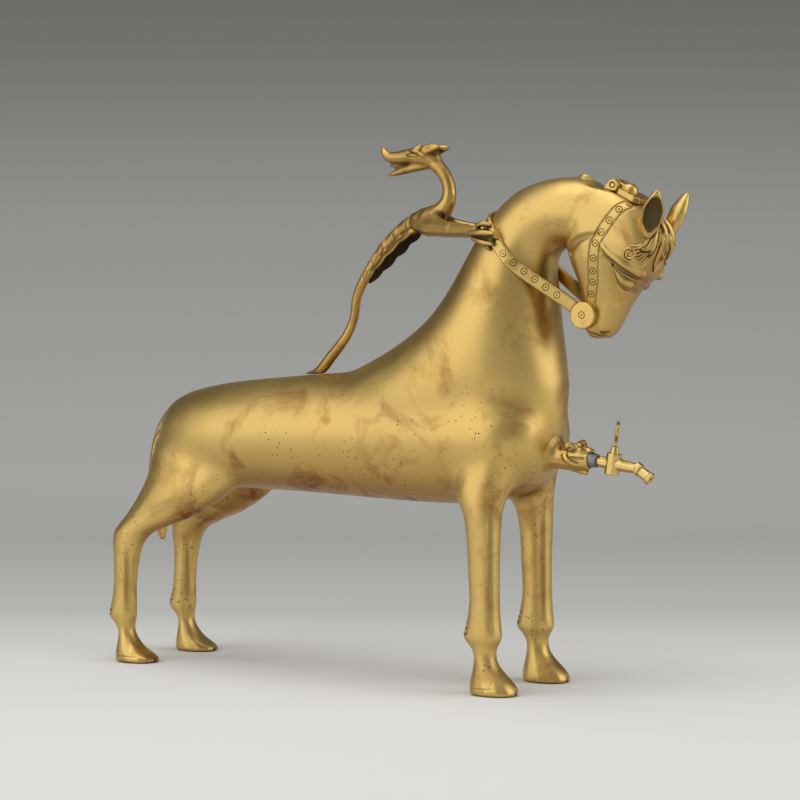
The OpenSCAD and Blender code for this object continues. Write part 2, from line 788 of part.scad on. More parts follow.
module tap_body() {
  color(tap_brass) tap_frame() difference() {
    union() {
      translate([0, 0, -tap_h / 2]) rotate(22.5)
        cylinder(d = tap_w / cos(22.5), h = tap_h, $fn = 8);
      along(-tap_w / 2 - socket_l) rotate(22.5) cylinder(d = tube_d + 2, h = socket_l + 2, $fn = 8);
      along(0) rotate(22.5) cylinder(d1 = 8, d2 = 6.4, h = arm_end, $fn = 8);
    }
    translate([0, 0, -tap_h / 2])
      cylinder(r1 = plug_end + play, r2 = plug_top + play, h = tap_h, $fn = 32);
    along(-20) cylinder(d = tube_d + 2 * seat, h = 20 - tap_w / 2 + 1.2, $fn = 32);
    along(-20) cylinder(d = way_d, h = 60, $fn = 32);
  }
}

// Nozzle: bends down from the end of the arm

module nozzle_frame() {
  translate([arm_end, 0, 0]) rotate([0, 90 + nozzle_fall, 0]) children();
}

module tap_nozzle() {
  color(tap_brass) tap_frame() difference() {
    nozzle_frame() union() {
      translate([0, 0, -3]) rotate(22.5) cylinder(d = 8.4, h = 5.4, $fn = 8);
      rotate(22.5) cylinder(d1 = 6.4, d2 = 7, h = 11, $fn = 8);
      translate([0, 0, 9]) rotate(22.5) cylinder(d = 8, h = 2.2, $fn = 8);
    }
    translate([arm_end - 20, -10, -10]) cube([20, 20, 20]);
    nozzle_frame() cylinder(d = way_d, h = 30, $fn = 32);
    along(0) cylinder(d = way_d, h = arm_end + 1.2, $fn = 32);
  }
}

module tap_plug() {
  color(tap_brass) tap_frame() rotate(-grip_turn) difference() {
    union() {
      translate([0, 0, 0.4 - tap_h / 2]) cylinder(
        r1 = plug_end + 0.016, r2 = plug_top, h = tap_h - 0.4, $fn = 32);
      translate([0, 0, tap_h / 2]) cylinder(r1 = plug_top, r2 = 2.2, h = neck_h, $fn = 32);
    }
    along(-20) cylinder(d = way_d, h = 40, $fn = 32);
  }
}

// Grip: a flat thumb piece with a waist, standing on the plug

module tap_grip() {
  color(tap_brass) tap_frame() rotate(-grip_turn) translate([0, grip_t / 2, tap_h / 2 + neck_h])
    rotate([90, 0, 0]) linear_extrude(grip_t) polygon([for (q = through([
      [-1.8, 0], [-1.5, 2], [-2.6, 4], [-grip_w / 2, grip_h * 0.5], [-grip_w * 0.46, grip_h * 0.82],
      [-grip_w * 0.2, grip_h * 0.98], [0, grip_h], [grip_w * 0.2, grip_h * 0.98],
      [grip_w * 0.46, grip_h * 0.82], [grip_w / 2, grip_h * 0.5], [2.6, 4], [1.5, 2], [1.8, 0]], 3)) q]);
}

place() barrel();
place() neck();
place() head();
place() ear_right();
place() ear_left();
place() forelock();
place() leg_front_right();
place() leg_front_left();
place() leg_hind_right();
place() leg_hind_left();
place() tail();
place() rein_right();
place() rein_left();
place() bit_boss_right();
place() bit_boss_left();
place() hinge_lugs();
place() hinge_pin();
place() lid();
place() dragon_body();
place() dragon_wings();
place() dragon_foreleg_right();
place() dragon_foreleg_left();
place() dragon_head();
place() spout_mask();
place() lead_joint();
place() tap_tube();
place() tap_body();
place() tap_nozzle();
place() tap_plug();
place() tap_grip();
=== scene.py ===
# %% [markdown]
# # A brass horse that holds water
# The real thing is a medieval hand-washing jug, cast in latten (an old brass) by the lost-wax way.
# Its shape is one smooth skin with no seams, so the lesson builds it as a *field*: a box of numbers
# that says how far each point is from the metal. Fields melt into each other, round off and can be
# engraved, much as wax can, and only at the end does each one become a mesh.

# %% Load the frame
import math

import bmesh
import bpy
import numpy as np
import openvdb as vdb
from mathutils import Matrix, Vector


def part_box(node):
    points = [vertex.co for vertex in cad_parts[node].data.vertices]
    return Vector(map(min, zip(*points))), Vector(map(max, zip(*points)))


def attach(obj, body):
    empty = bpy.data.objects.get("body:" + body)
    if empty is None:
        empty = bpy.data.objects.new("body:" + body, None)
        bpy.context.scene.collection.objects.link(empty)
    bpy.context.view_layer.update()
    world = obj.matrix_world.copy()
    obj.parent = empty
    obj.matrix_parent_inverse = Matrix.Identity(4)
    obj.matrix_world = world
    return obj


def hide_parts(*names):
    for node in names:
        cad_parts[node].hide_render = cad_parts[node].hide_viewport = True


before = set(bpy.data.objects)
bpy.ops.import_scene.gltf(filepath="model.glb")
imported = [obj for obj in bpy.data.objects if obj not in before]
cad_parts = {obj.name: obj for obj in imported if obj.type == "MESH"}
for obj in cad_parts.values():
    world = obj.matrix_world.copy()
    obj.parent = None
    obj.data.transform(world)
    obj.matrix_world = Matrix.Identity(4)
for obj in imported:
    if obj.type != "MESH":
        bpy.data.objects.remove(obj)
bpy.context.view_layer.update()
MM = 0.001

# %% [markdown]
# ## The camera
# The photograph was taken from the horse's front right, a little above the middle of the animal, with a
# long lens. A long lens far away keeps the legs nearly parallel. The numbers were found by matching the
# hooves, the head and the tap.

# %% Camera
turn, dip = math.radians(32.0), math.radians(2.2)
look = Vector((-math.sin(turn) * math.cos(dip), math.cos(turn) * math.cos(dip), -math.sin(dip)))
lens = bpy.data.cameras.new("long_lens")
lens.sensor_width, lens.lens = 36.0, 113.76
camera = bpy.data.objects.new("camera", lens)
camera.location = Vector((842.2, -1335.7, 234.0)) * MM
camera.rotation_euler = look.to_track_quat("-Z", "Y").to_euler()
bpy.context.scene.collection.objects.link(camera)
bpy.context.scene.camera = camera
print("camera at", [round(v, 3) for v in camera.location])

# %% [markdown]
# ## Colours and nodes
# Colours are written as sRGB hex, as a paint chart gives them, but shaders calculate with linear light.
# One function does that change, and one adds any node with its settings and its links.

# %% Helpers for nodes


def linear(code):
    """An sRGB hex colour as linear light, with a full alpha."""
    parts = [int(code[i:i + 2], 16) / 255 for i in (1, 3, 5)]
    parts = [c / 12.92 if c <= 0.04045 else ((c + 0.055) / 1.055) ** 2.4 for c in parts]
    return (*parts, 1.0)


def node(tree, kind, settings=None, **inputs):
    """Adds a node. Inputs are values, or sockets to link from; _ stands for a space, and i2 for input 2."""
    made = tree.nodes.new(kind)
    for key, value in (settings or {}).items():
        setattr(made, key, value)
    for key, value in inputs.items():
        by_number = key[0] == "i" and key[1:].isdigit()
        socket = made.inputs[int(key[1:]) if by_number else key.replace("_", " ")]
        if isinstance(value, bpy.types.NodeSocket):
            tree.links.new(value, socket)
        else:
            socket.default_value = value
    return made


print("node helpers ready, white is", linear("#ffffff"))

# %% [markdown]
# ## The metals
# ** Polished latten** is a copper and zinc alloy with a warm yellow mirror colour. Centuries of rubbing give
# it a satin gloss, browner in the stains and nearly black where no cloth ever reaches. Each mesh carries
# a recess number, measured on its own shape, that tells the shader how deep a spot lies; under the jaw and
# on the wings' inner faces it also carries painted shade. Faces that look down get a painted shade of brown.
# Casting also leaves clusters of tiny gas pits, about half a millimetre wide. All six finishes on the
# vessel are aged metal, so one recipe makes them, and only colours, gloss and shares differ.

# %% Materials


def every(mm):
    """The scale at which a pattern repeats about every so many millimetres."""
    return 1 / (mm * MM)


def cast_metal(name, gold, pale, stain, patina, rough, pit_share, stain_share):
    """Satin cast metal: clouded colour, stains, gas pits, dark patina in the recesses, painted shade on faces
    that look down, and painted shade wherever the recess number carries it.
    """
    made = bpy.data.materials.new(name)
    made.use_nodes = True
    t = made.node_tree
    t.nodes.clear()
    place = node(t, "ShaderNodeTexCoord").outputs["Object"]
    height = node(t, "ShaderNodeSeparateXYZ", Vector=place).outputs["Z"]
    normal = node(t, "ShaderNodeNewGeometry").outputs["Normal"]
    facing = node(t, "ShaderNodeSeparateXYZ", Vector=normal).outputs["Z"]
    recess_and_painted_shade = node(t, "ShaderNodeAttribute", {"attribute_name": "recess_and_painted_shade"}).outputs["Fac"]

    # clouds in the alloy, brown stains, polishing marks, gas pits, single flaws, patches where pits gather
    cloud = node(t, "ShaderNodeTexNoise", Vector=place, Scale=every(50), Detail=5.0).outputs["Fac"]
    blotch = node(t, "ShaderNodeTexNoise", Vector=place, Scale=every(31.25), Detail=8.0,
                  Roughness=0.62, Distortion=0.6).outputs["Fac"]
    grain = node(t, "ShaderNodeTexNoise", Vector=place, Scale=every(0.714), Detail=2.0).outputs["Fac"]
    pock = node(t, "ShaderNodeTexVoronoi", Vector=place, Scale=every(3.03), Randomness=1.0).outputs["Distance"]
    flaw = node(t, "ShaderNodeTexVoronoi", Vector=place, Scale=every(14.29), Randomness=1.0).outputs["Distance"]
    patch = node(t, "ShaderNodeTexNoise", Vector=place, Scale=every(38.46), Detail=3.0,
                 Roughness=0.7).outputs["Fac"]

    # low down, where water drips and dries, the casting is more stained and more pitted
    low = node(t, "ShaderNodeMapRange", Value=height, From_Min=165 * MM, From_Max=215 * MM,
               To_Min=1.0, To_Max=0.1).outputs["Result"]
    soil = node(t, "ShaderNodeMath", {"operation": "MULTIPLY_ADD"}, i0=low, i1=0.02, i2=blotch).outputs[0]
    stained = node(t, "ShaderNodeMapRange", Value=soil, From_Min=0.66 - stain_share,
                   From_Max=0.80 - stain_share * 0.6).outputs["Result"]
    pits = node(t, "ShaderNodeMapRange", Value=pock, From_Min=0.12, From_Max=0.20,
                To_Min=1.0, To_Max=0.0).outputs["Result"]
    pitted = node(t, "ShaderNodeMapRange", Value=patch, From_Min=0.66 - pit_share,
                  From_Max=0.76 - pit_share).outputs["Result"]
    flaws = node(t, "ShaderNodeMapRange", Value=flaw, From_Min=0.035, From_Max=0.06,
                 To_Min=5 * pit_share, To_Max=0.0).outputs["Result"]
    rare = node(t, "ShaderNodeMapRange", Value=blotch, From_Min=0.46, From_Max=0.60).outputs["Result"]
    flaws = node(t, "ShaderNodeMath", {"operation": "MULTIPLY"}, i0=flaws, i1=rare).outputs[0]
    speck = node(t, "ShaderNodeMath", {"operation": "MULTIPLY"}, i0=pits, i1=pitted).outputs[0]
    hole = node(t, "ShaderNodeMath", {"operation": "MAXIMUM", "use_clamp": True}, i0=speck, i1=flaws).outputs[0]
    hole = node(t, "ShaderNodeMath", {"operation": "MULTIPLY"}, i0=hole, i1=low).outputs[0]

    # colour: what looks down gets a painted shade of brown, and recesses and holes are filled with patina, along
    # with the painted shade that the recess number carries
    painted_underside_shade = node(t, "ShaderNodeMapRange", Value=facing, From_Min=-0.9, From_Max=-0.15,
                 To_Min=0.6, To_Max=0.0).outputs["Result"]
    deep = node(t, "ShaderNodeMapRange", Value=recess_and_painted_shade, From_Min=0.12, From_Max=0.62).outputs["Result"]
    # patina in recesses and pits, plus the painted shade that the recess number carries
    dirt_and_painted_shade = node(t, "ShaderNodeMath", {"operation": "MAXIMUM"}, i0=deep, i1=hole).outputs[0]
    # real stains together with the painted shade on faces that look down
    stain_and_painted_shade = node(t, "ShaderNodeMath", {"operation": "MULTIPLY_ADD", "use_clamp": True},
                i0=stained, i1=0.6, i2=painted_underside_shade).outputs[0]
    tone = node(t, "ShaderNodeMix", {"data_type": "RGBA"},
                i0=cloud, i6=linear(gold), i7=linear(pale)).outputs[2]
    browned = node(t, "ShaderNodeMix", {"data_type": "RGBA"}, i0=stain_and_painted_shade, i6=tone, i7=linear(stain)).outputs[2]
    colour = node(t, "ShaderNodeMix", {"data_type": "RGBA"}, i0=dirt_and_painted_shade, i6=browned, i7=linear(patina)).outputs[2]

    # gloss: a little uneven, duller in stains, and nearly matt in patina, which is no longer bare metal
    gloss = node(t, "ShaderNodeMapRange", Value=cloud, From_Min=0.3, From_Max=0.7,
                 To_Min=rough - 0.04, To_Max=rough + 0.05).outputs["Result"]
    dull = node(t, "ShaderNodeMix", {"data_type": "FLOAT"}, i0=dirt_and_painted_shade, i2=gloss, i3=0.62).outputs[0]
    worn = node(t, "ShaderNodeMapRange", Value=stained, To_Min=0.0, To_Max=0.10).outputs["Result"]
    matt = node(t, "ShaderNodeMath", {"operation": "ADD", "use_clamp": True}, i0=dull, i1=worn).outputs[0]
    shine = node(t, "ShaderNodeMapRange", Value=dirt_and_painted_shade, To_Min=1.0, To_Max=0.55).outputs["Result"]

    # relief: faint polishing marks, and the pits
    rise = node(t, "ShaderNodeMath", {"operation": "MULTIPLY_ADD"}, i0=hole, i1=-3.0, i2=grain).outputs[0]
    bump = node(t, "ShaderNodeBump", Strength=0.10, Distance=0.3 * MM, Height=rise).outputs["Normal"]
    skin = node(t, "ShaderNodeBsdfPrincipled", Base_Color=colour, Metallic=shine, Roughness=matt, Normal=bump)
    node(t, "ShaderNodeOutputMaterial", Surface=skin.outputs["BSDF"])
    return made


# latten, cast and rubbed by hand for centuries: soft gold gloss, clouded, with brown stains and gas pits
latten = cast_metal("polished_latten", "#cfab5e", "#dfc07a", "#8a5026", "#2e1f0f", 0.37, 0.17, 0.13)
# the same metal where every hand at the tap rubs it: brighter, with sharper lights
rubbed = cast_metal("rubbed_latten", "#cda653", "#e0bf76", "#8e5c30", "#2a1b0c", 0.27, 0.14, 0.12)
# the same metal, deeper gold, browner in its hollows and hardly pitted, for the dragon and its wings
dark_latten = cast_metal("darker_latten", "#bd984f", "#d0ae68", "#6e4424", "#24170b", 0.33, 0.06, 0.19)
# brass turned and filed for the tap: paler and smoother, without pits
tap_brass = cast_metal("filed_tap_brass", "#d3b062", "#e6ca86", "#a07838", "#33230f", 0.26, 0.0, 0.06)
# lead poured round the tube: blue grey and dull, as it tarnishes at once
lead = cast_metal("soft_lead", "#7c7d82", "#9a9b9c", "#5f5c58", "#262422", 0.45, 0.10, 0.14)
# the dirt of ages in a cut line: dark brown and matt
patina = cast_metal("engraved_patina", "#38260f", "#4a3418", "#2c1c0f", "#1c120a", 0.55, 0.0, 0.0)
print("materials:", [m.name for m in bpy.data.materials])

# %% [markdown]
# ## Fields: wax made of numbers
# The CAD solids give the true shapes and sizes, but with flat facets and hard creases. Each solid is turned
# into a distance field on a grid: negative inside the metal, zero on its skin, positive outside.
# The lowest of two fields is the two shapes together. Growing a shape and shrinking it again by the
# same amount fills its creases with a round fillet, and a blur wipes the facets away.

# %% Field helpers
FAR = 40.0  # steps; a field counts no further than this


class Wax:
    """A distance field in metres on a box of the row frame."""

    def __init__(self, low, high, step):
        self.low, self.step = np.array(low, float) * MM, step * MM
        self.shape = tuple(int(round((b - a) / step)) + 1 for a, b in zip(low, high))
        self.d = None

    def from_mesh(self, points, triangles=None, quads=None, band=8.0):
        """Distances to a closed mesh, up to a band of so many steps."""
        grid = vdb.FloatGrid.createLevelSetFromPolygons(
            ((points - self.low) / self.step).astype(np.float32), triangles=triangles, quads=quads,
            transform=vdb.createLinearTransform(1.0), halfWidth=band)
        out = np.zeros(self.shape, np.float32)
        grid.copyToArray(out)
        return out * self.step

    def from_nodes(self, names, band=8.0, filled=()):
        """The union of some CAD nodes, from merged copies of their triangles; hollow ones can be filled."""
        out = None
        for name in names:
            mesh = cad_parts[name].data
            mesh.calc_loop_triangles()
            co = np.zeros(len(mesh.vertices) * 3, np.float32)
            mesh.vertices.foreach_get("co", co)
            tri = np.zeros(len(mesh.loop_triangles) * 3, np.int32)
            mesh.loop_triangles.foreach_get("vertices", tri)
            points, back = np.unique(np.round(co.reshape(-1, 3), 7), axis=0, return_inverse=True)
            corners = back.ravel()[tri].reshape(-1, 3).astype(np.uint32)
            d = self.from_mesh(points, triangles=corners, band=band)
            if name in filled:
                d = self.fill(d, band)
            out = d if out is None else np.minimum(out, d, out=out)
        return out

    def fill(self, d, band):
        """Fills a hollow: whatever has metal on its left and on its right."""
        metal = d < 0
        left = np.maximum.accumulate(metal, axis=1)
        right = np.maximum.accumulate(metal[:, ::-1], axis=1)[:, ::-1]
        points, quads = self.surface(np.where(left & right & ~metal, -FAR * self.step, d))
        return self.from_mesh(points, quads=quads, band=band)

    def surface(self, d, level=0.0):
        """Points and quads of a level of a field."""
        grid = vdb.FloatGrid(FAR)
        grid.copyFromArray(np.clip(d / self.step, -FAR, FAR).astype(np.float32))
        points, quads = grid.convertToQuads(isovalue=level / self.step)
        return points * self.step + self.low, quads

    def fillet(self, d, radius):
        """Fills creases: grows by the radius and shrinks back."""
        points, quads = self.surface(d, radius)
        return self.from_mesh(points, quads=quads, band=radius / self.step + 10) + radius

    def closed(self, radius):
        """The same field with its hollows filled, as by a tight skin drawn over it."""
        out = Wax.__new__(Wax)
        out.low, out.step, out.shape = self.low, self.step, self.shape
        out.d = self.fillet(self.d, radius * MM)
        return out

    def blur(self, d, size):
        """A soft average over so many metres."""
        s = size / self.step
        n = max(1, int(2.6 * s + 0.5))
        w = np.exp(-0.5 * (np.arange(-n, n + 1) / s) ** 2).astype(np.float32)
        w /= w.sum()
        for axis in range(3):
            wide = np.pad(d, [(n, n) if i == axis else (0, 0) for i in range(3)], mode="edge")
            cut = [slice(None)] * 3
            out = np.zeros_like(d)
            for k, share in enumerate(w):
                cut[axis] = slice(k, k + d.shape[axis])
                out += share * wide[tuple(cut)]
            d = out
        return d

    def at(self, points):
        """The field between grid points, on a straight line in each direction."""
        q = (points - self.low) / self.step
        q = np.clip(q, 0, np.array(self.shape) - 1.001)
        i = q.astype(int)
        f = (q - i).astype(np.float32)
        out = np.zeros(len(q), np.float32)
        for dx in (0, 1):
            for dy in (0, 1):
                for dz in (0, 1):
                    w = np.abs(1 - dx - f[:, 0]) * np.abs(1 - dy - f[:, 1]) * np.abs(1 - dz - f[:, 2])
                    out += w * self.d[i[:, 0] + dx, i[:, 1] + dy, i[:, 2] + dz]
        return out

    def slope(self, points, reach=0.6):
        """Outward direction at some points."""
        e = self.step * reach
        return np.stack([self.at(points + e * a) - self.at(points - e * a) for a in np.eye(3)], 1) / (2 * e)

    def finer(self, low, high, step):
        """The same field on a finer grid in a smaller box."""
        out = Wax(low, high, step)
        axes = [out.low[k] + out.step * np.arange(out.shape[k]) for k in range(3)]
        rows = [np.stack(np.meshgrid([x], axes[1], axes[2], indexing="ij"), -1).reshape(-1, 3)
                for x in axes[0]]
        out.d = np.stack([self.at(r).reshape(out.shape[1:]) for r in rows])
        return out

    def axes(self):
        """The grid's coordinates in mm, ready to combine."""
        a = [(self.low[k] + self.step * np.arange(self.shape[k])) / MM for k in range(3)]
        return a[0][:, None, None], a[1][None, :, None], a[2][None, None, :]


def melt(a, b, k):
    """The union of two fields with a soft join of size k."""
    h = np.maximum(k - np.abs(a - b), 0) / k
    return np.minimum(a, b) - h * h * k / 4


def carve(a, b, k):
    """Field a with b cut away, and a soft rim of size k."""
    return -melt(-a, b, k)


print("field helpers ready, openvdb", getattr(vdb, "LIBRARY_VERSION", ""))

# %% [markdown]
# ## From field to mesh
# A field becomes quads where it crosses zero. Every point then slides along the slope of the field until it
# lies right on the skin, and the slope itself is kept as the normal, so that two meshes cut from one
# field meet without a visible seam. The same slope measures how deep a spot lies: one step
# outwards from open metal leads away from it, but in a crease it leads towards the other wall.

# %% Mesh helpers
REACHES = ((1.2, 1.0), (2.5, 0.9), (5.0, 0.6))  # how far out a recess is felt in mm, and its weight


def on_skin(wax, points, rounds=2, limit=2.5):
    """Slides points along the slope until they lie on the skin, at most so many mm a round."""
    for _ in range(rounds):
        g = wax.slope(points)
        move = (wax.at(points) / np.maximum((g * g).sum(1), 0.05))[:, None] * g
        size = np.maximum(np.linalg.norm(move, axis=1), 1e-9)
        points = points - move * np.minimum(1, limit * MM / size)[:, None]
    return points


def depth_of(wax, points, normal, reaches):
    """0 on open metal, towards 1 in a crease; each reach in mm has its weight."""
    out = np.zeros(len(points), np.float32)
    for reach, weight in reaches:
        out = np.maximum(out, weight * (1 - wax.at(points + normal * reach * MM) / (reach * MM)))
    return np.clip(out, 0, 1)


def painted_throat_shade(points):
    """Painted shade under the jaw: towards 0.6 there, 0 elsewhere."""
    away = np.linalg.norm((points / MM - (128, 4, 250)) / (13, 22, 20), axis=1)
    return 0.6 * np.clip(3 * (1 - away), 0, 1)


def mesh_piece(name, points, faces, edges=()):
    """A new mesh object at the origin."""
    mesh = bpy.data.meshes.new(name)
    mesh.from_pydata(points, edges, faces)
    mesh.update()
    made = bpy.data.objects.new(name, mesh)
    bpy.context.scene.collection.objects.link(made)
    return made


def points_of(mesh):
    """The points of a mesh as an array."""
    co = np.zeros(len(mesh.vertices) * 3, np.float32)
    mesh.vertices.foreach_get("co", co)
    return co.reshape(-1, 3).astype(float)


def finish_piece(made, metal, body, stands_for=(), recess_and_painted_shade=None, normal=None):
    """Material, smooth faces, the recess number, and the body it rides on."""
    mesh = made.data
    mesh.materials.clear()
    mesh.materials.append(metal)
    mesh.polygons.foreach_set("use_smooth", np.ones(len(mesh.polygons), bool))
    if recess_and_painted_shade is not None:
        mesh.attributes.new("recess_and_painted_shade", "FLOAT", "POINT").data.foreach_set("value", recess_and_painted_shade.astype(np.float32))
    if normal is not None:
        mesh.normals_split_custom_set_from_vertices(normal.astype(np.float32))
    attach(made, body)
    if stands_for:
        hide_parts(*stands_for)
    mesh.calc_loop_triangles()
    print(made.name, len(mesh.loop_triangles), "triangles")
    return made


def cast_piece(name, wax, coarse, metal, stands_for, cuts=(), body="vessel", reaches=REACHES, hollow=0):
    """The skin of a field as a piece, cut flat and closed at its neighbours; hollows can be darkened."""
    points, quads = coarse.surface(coarse.d)
    points = on_skin(wax, points, limit=coarse.step / MM)
    corner = points[quads]
    across = np.cross(corner[:, 2] - corner[:, 0], corner[:, 3] - corner[:, 1])
    if (across * wax.slope(corner.mean(1))).sum() < 0:
        quads = quads[:, ::-1]
    made = mesh_piece(name, points, quads)
    shape = bmesh.new()
    shape.from_mesh(made.data)
    for place, out in cuts:
        everything = shape.verts[:] + shape.edges[:] + shape.faces[:]
        bmesh.ops.bisect_plane(shape, geom=everything, plane_co=Vector(place) * MM, plane_no=out,
                               clear_outer=True, dist=1e-7)
    for place, out in cuts:
        flat = [e for e in shape.edges if e.is_boundary
                and all(abs((v.co - Vector(place) * MM).dot(Vector(out))) < 1e-6 for v in e.verts)]
        bmesh.ops.holes_fill(shape, edges=flat, sides=0)
    open_edges = sum(not e.is_manifold for e in shape.edges)
    shape.to_mesh(made.data)
    shape.free()
    points = points_of(made.data)
    normal = wax.slope(points)
    normal /= np.maximum(np.linalg.norm(normal, axis=1), 1e-6)[:, None]
    if open_edges:
        print(name, "has", open_edges, "open edges")
    # the painted shade under the jaw is added to the recess number
    recess_and_painted_shade = np.maximum(depth_of(wax, points, normal, reaches), painted_throat_shade(points))
    if hollow:
        recess_and_painted_shade = np.maximum(recess_and_painted_shade, np.clip(-wax.closed(hollow).at(points) / (1.6 * MM), 0, 0.55))
    return finish_piece(made, metal, body, stands_for, recess_and_painted_shade, normal)


print("mesh helpers ready; a recess is felt at", [reach for reach, weight in REACHES], "mm")

# %% [markdown]
# ## The horse: one casting
# Barrel, neck, head and legs were one pour of metal, so they share one field. The fillets are wide where
# the legs grow out of the barrel and narrow round the head. The blur is strong on the round barrel,
# whose facets are wide, and light on the head and the legs, which keep their modelling. Between belly and
# withers a very wide fillet turns shoulder, haunch and barrel into one surface; below the belly the flank and
# the elbow stay crisp, and so does the throat above the withers.

# %% The horse's field
horse = Wax((-210, -58, -12), (202, 58, 322), 1.0)
TRUNK = ["barrel", "neck", "leg_front_right", "leg_front_left", "leg_hind_right", "leg_hind_left"]
HOLLOW = ("barrel", "neck")
BELLY, WITHERS = 122, 236
z = horse.axes()[2]
trunk = horse.fillet(horse.from_nodes(TRUNK, band=12, filled=HOLLOW), 4 * MM)
form = Wax((-228, -74, 60), (182, 74, 342), 2.0)
points, quads = form.surface(form.fillet(form.from_nodes(TRUNK, band=16, filled=HOLLOW), 24 * MM))
upper = (np.clip((z - BELLY) / 24, 0, 1) * np.clip((WITHERS - z) / 22, 0, 1)).astype(np.float32)
trunk = upper * horse.from_mesh(points, quads=quads, band=12) + (1 - upper) * trunk
skull = horse.from_nodes(["head"], band=12, filled=("head",))
whole = horse.fillet(np.minimum(trunk, skull), 1.6 * MM)
near_head = np.clip((9 - skull / MM) / 8, 0, 1)
low_leg = np.clip((BELLY - z) / 24, 0, 1)
keep = np.maximum(near_head, low_leg).astype(np.float32)
horse.d = (keep * horse.blur(whole, 1.1 * MM) + (1 - keep) * horse.blur(whole, 4 * MM)).astype(np.float32)
horse.d = np.maximum(horse.d, -z.astype(np.float32) * MM)  # nothing below the ground
print("horse field", horse.shape)

# %% [markdown]
# ## Lines to carve along
# Engraving and modelling follow lines: a strap's edge, an eyelid, a groove down a leg. Each line is a few
# given points in millimetres with a smooth curve through them, slid onto the skin so that it really lies
# on the metal. A field of the distance to that line is then carved out of the horse or melted onto it.

# %% Lines


def curve_through(points, steps=6):
    """A smooth curve through a few points, each with any numbers after its place."""
    p = np.array(points, float)
    p = np.vstack([2 * p[0] - p[1], p, 2 * p[-1] - p[-2]])
    t = np.linspace(0, 1, steps, endpoint=False)[:, None]
    out = []
    for a, b, c, d in zip(p, p[1:], p[2:], p[3:]):
        bend, twist = 2 * a - 5 * b + 4 * c - d, 3 * b - a - 3 * c + d
        out.append(0.5 * (2 * b + (c - a) * t + bend * t ** 2 + twist * t ** 3))
    return np.vstack([*out, p[-2:-1]])


def skin_line(wax, points, steps=6, lift=0.0):
    """A curve in mm, slid onto the skin of a field, or lifted off it by so many mm."""
    c = curve_through(points, steps)
    c[:, :3] = on_skin(wax, c[:, :3] * MM, 4) / MM
    if lift:
        g = wax.slope(c[:, :3] * MM)
        c[:, :3] += lift * g / np.linalg.norm(g, axis=1)[:, None]
    return c


def rod(wax, line, radius=None):
    """A field in metres of a rod along a line in mm; the fourth number of a point is its radius."""
    out = np.full(wax.shape, 9.0, np.float32)
    low, step = wax.low / MM, wax.step / MM
    r = line[:, 3] if radius is None else np.full(len(line), float(radius))
    for a, b, ra, rb in zip(line[:-1, :3], line[1:, :3], r[:-1], r[1:]):
        pad = max(ra, rb) + 3.5
        i0 = np.clip(np.floor((np.minimum(a, b) - pad - low) / step), 0, None).astype(int)
        i1 = np.minimum(np.ceil((np.maximum(a, b) + pad - low) / step).astype(int) + 1, wax.shape)
        if (i1 <= i0).any():
            continue
        box = tuple(slice(p, q) for p, q in zip(i0, i1))
        gx, gy, gz = (low[k] + step * np.arange(i0[k], i1[k]) - a[k] for k in range(3))
        gx, gy, gz = gx[:, None, None], gy[None, :, None], gz[None, None, :]
        e = b - a
        t = np.clip((gx * e[0] + gy * e[1] + gz * e[2]) / max((e * e).sum(), 1e-9), 0, 1)
        away = np.sqrt((gx - t * e[0]) ** 2 + (gy - t * e[1]) ** 2 + (gz - t * e[2]) ** 2)
        out[box] = np.minimum(out[box], away - (ra + t * (rb - ra)))
    return out * MM


def mirror(points):
    """The same points on the horse's other side."""
    p = np.array(points, float)
    p[:, 1] *= -1
    return p


def beside(wax, line, width):
    """Two lines on the skin, half a width to each side of a line."""
    along = np.gradient(line[:, :3], axis=0)
    out = wax.slope(line[:, :3] * MM)
    side = np.cross(out, along)
    side *= width / 2 / np.linalg.norm(side, axis=1)[:, None]
    return [on_skin(wax, (line[:, :3] + s * side) * MM) / MM for s in (-1, 1)]


def work(wax, tool, points, soft, lift=0.0, side=np.array):
    """Works a line into a field: the tool is melt or carve, and soft is the size of its rim in mm."""
    wax.d = tool(wax.d, rod(wax, side(skin_line(wax, points, lift=lift))), soft * MM)


print("line helpers ready")

# %% [markdown]
# ## The head
# The head is engraved: a cheek strap of two lines, almond eyes with double lids under heavy brows, a nostril,
# a mouth, and a rounded jowl that stands off the neck. It gets its own finer grid, half a millimetre, because
# an engraved line is less than a millimetre wide. The lid's seat and the filler mouth are cut sharp
# again at the end, since the blur rounded them. The lines are those of the right side, where a fourth
# number is the tool's radius, and the left side is their mirror.

# %% Lines of the head
strap = [(173.7, -13.0, 291.6), (169, -18.0, 288.6), (163.7, -20.2, 282.2), (158.9, -21.0, 275.3),
         (155, -21.0, 269.0), (153.2, -20.1, 260.2), (152, -18.2, 252.7), (151, -16.2, 246.2),
         (148.7, -13.9, 239.2), (147.4, -12.6, 233.5)]
jowl = [(156.3, -20.9, 274.0, 0.3), (149.6, -20.6, 273.1, 1.2), (143.1, -19.9, 270.9, 1.9),
        (138.2, -18.5, 267.6, 2.4), (134.8, -15.1, 263.1, 2.6)]
brow = [(158.8, -21.1, 268.6, 0.6), (162.7, -20.6, 263.5, 1.5), (168.6, -19.2, 259.0, 2.2),
        (173.9, -16.8, 255.0, 2.5), (178.2, -13.2, 252.2, 2.4), (180.3, -10, 251.3, 1.2)]
fold = [(160.1, -20.8, 264.0, 0.8), (164.0, -19.6, 259.3, 1.3), (168.0, -18.6, 255.9, 1.5),
        (172.3, -16.5, 252.9, 1.5), (176.8, -12.4, 250.0, 1.2), (178, -8.5, 248.2, 0.7)]
upper_line = [(164.6, -19.1, 257.3, 0.15), (168.5, -18.1, 254.1, 0.32), (171.8, -16.3, 251.6, 0.36),
              (175, -13.5, 249.4, 0.36), (177, -10.4, 247.6, 0.3), (176.6, -8.4, 245.9, 0.15)]
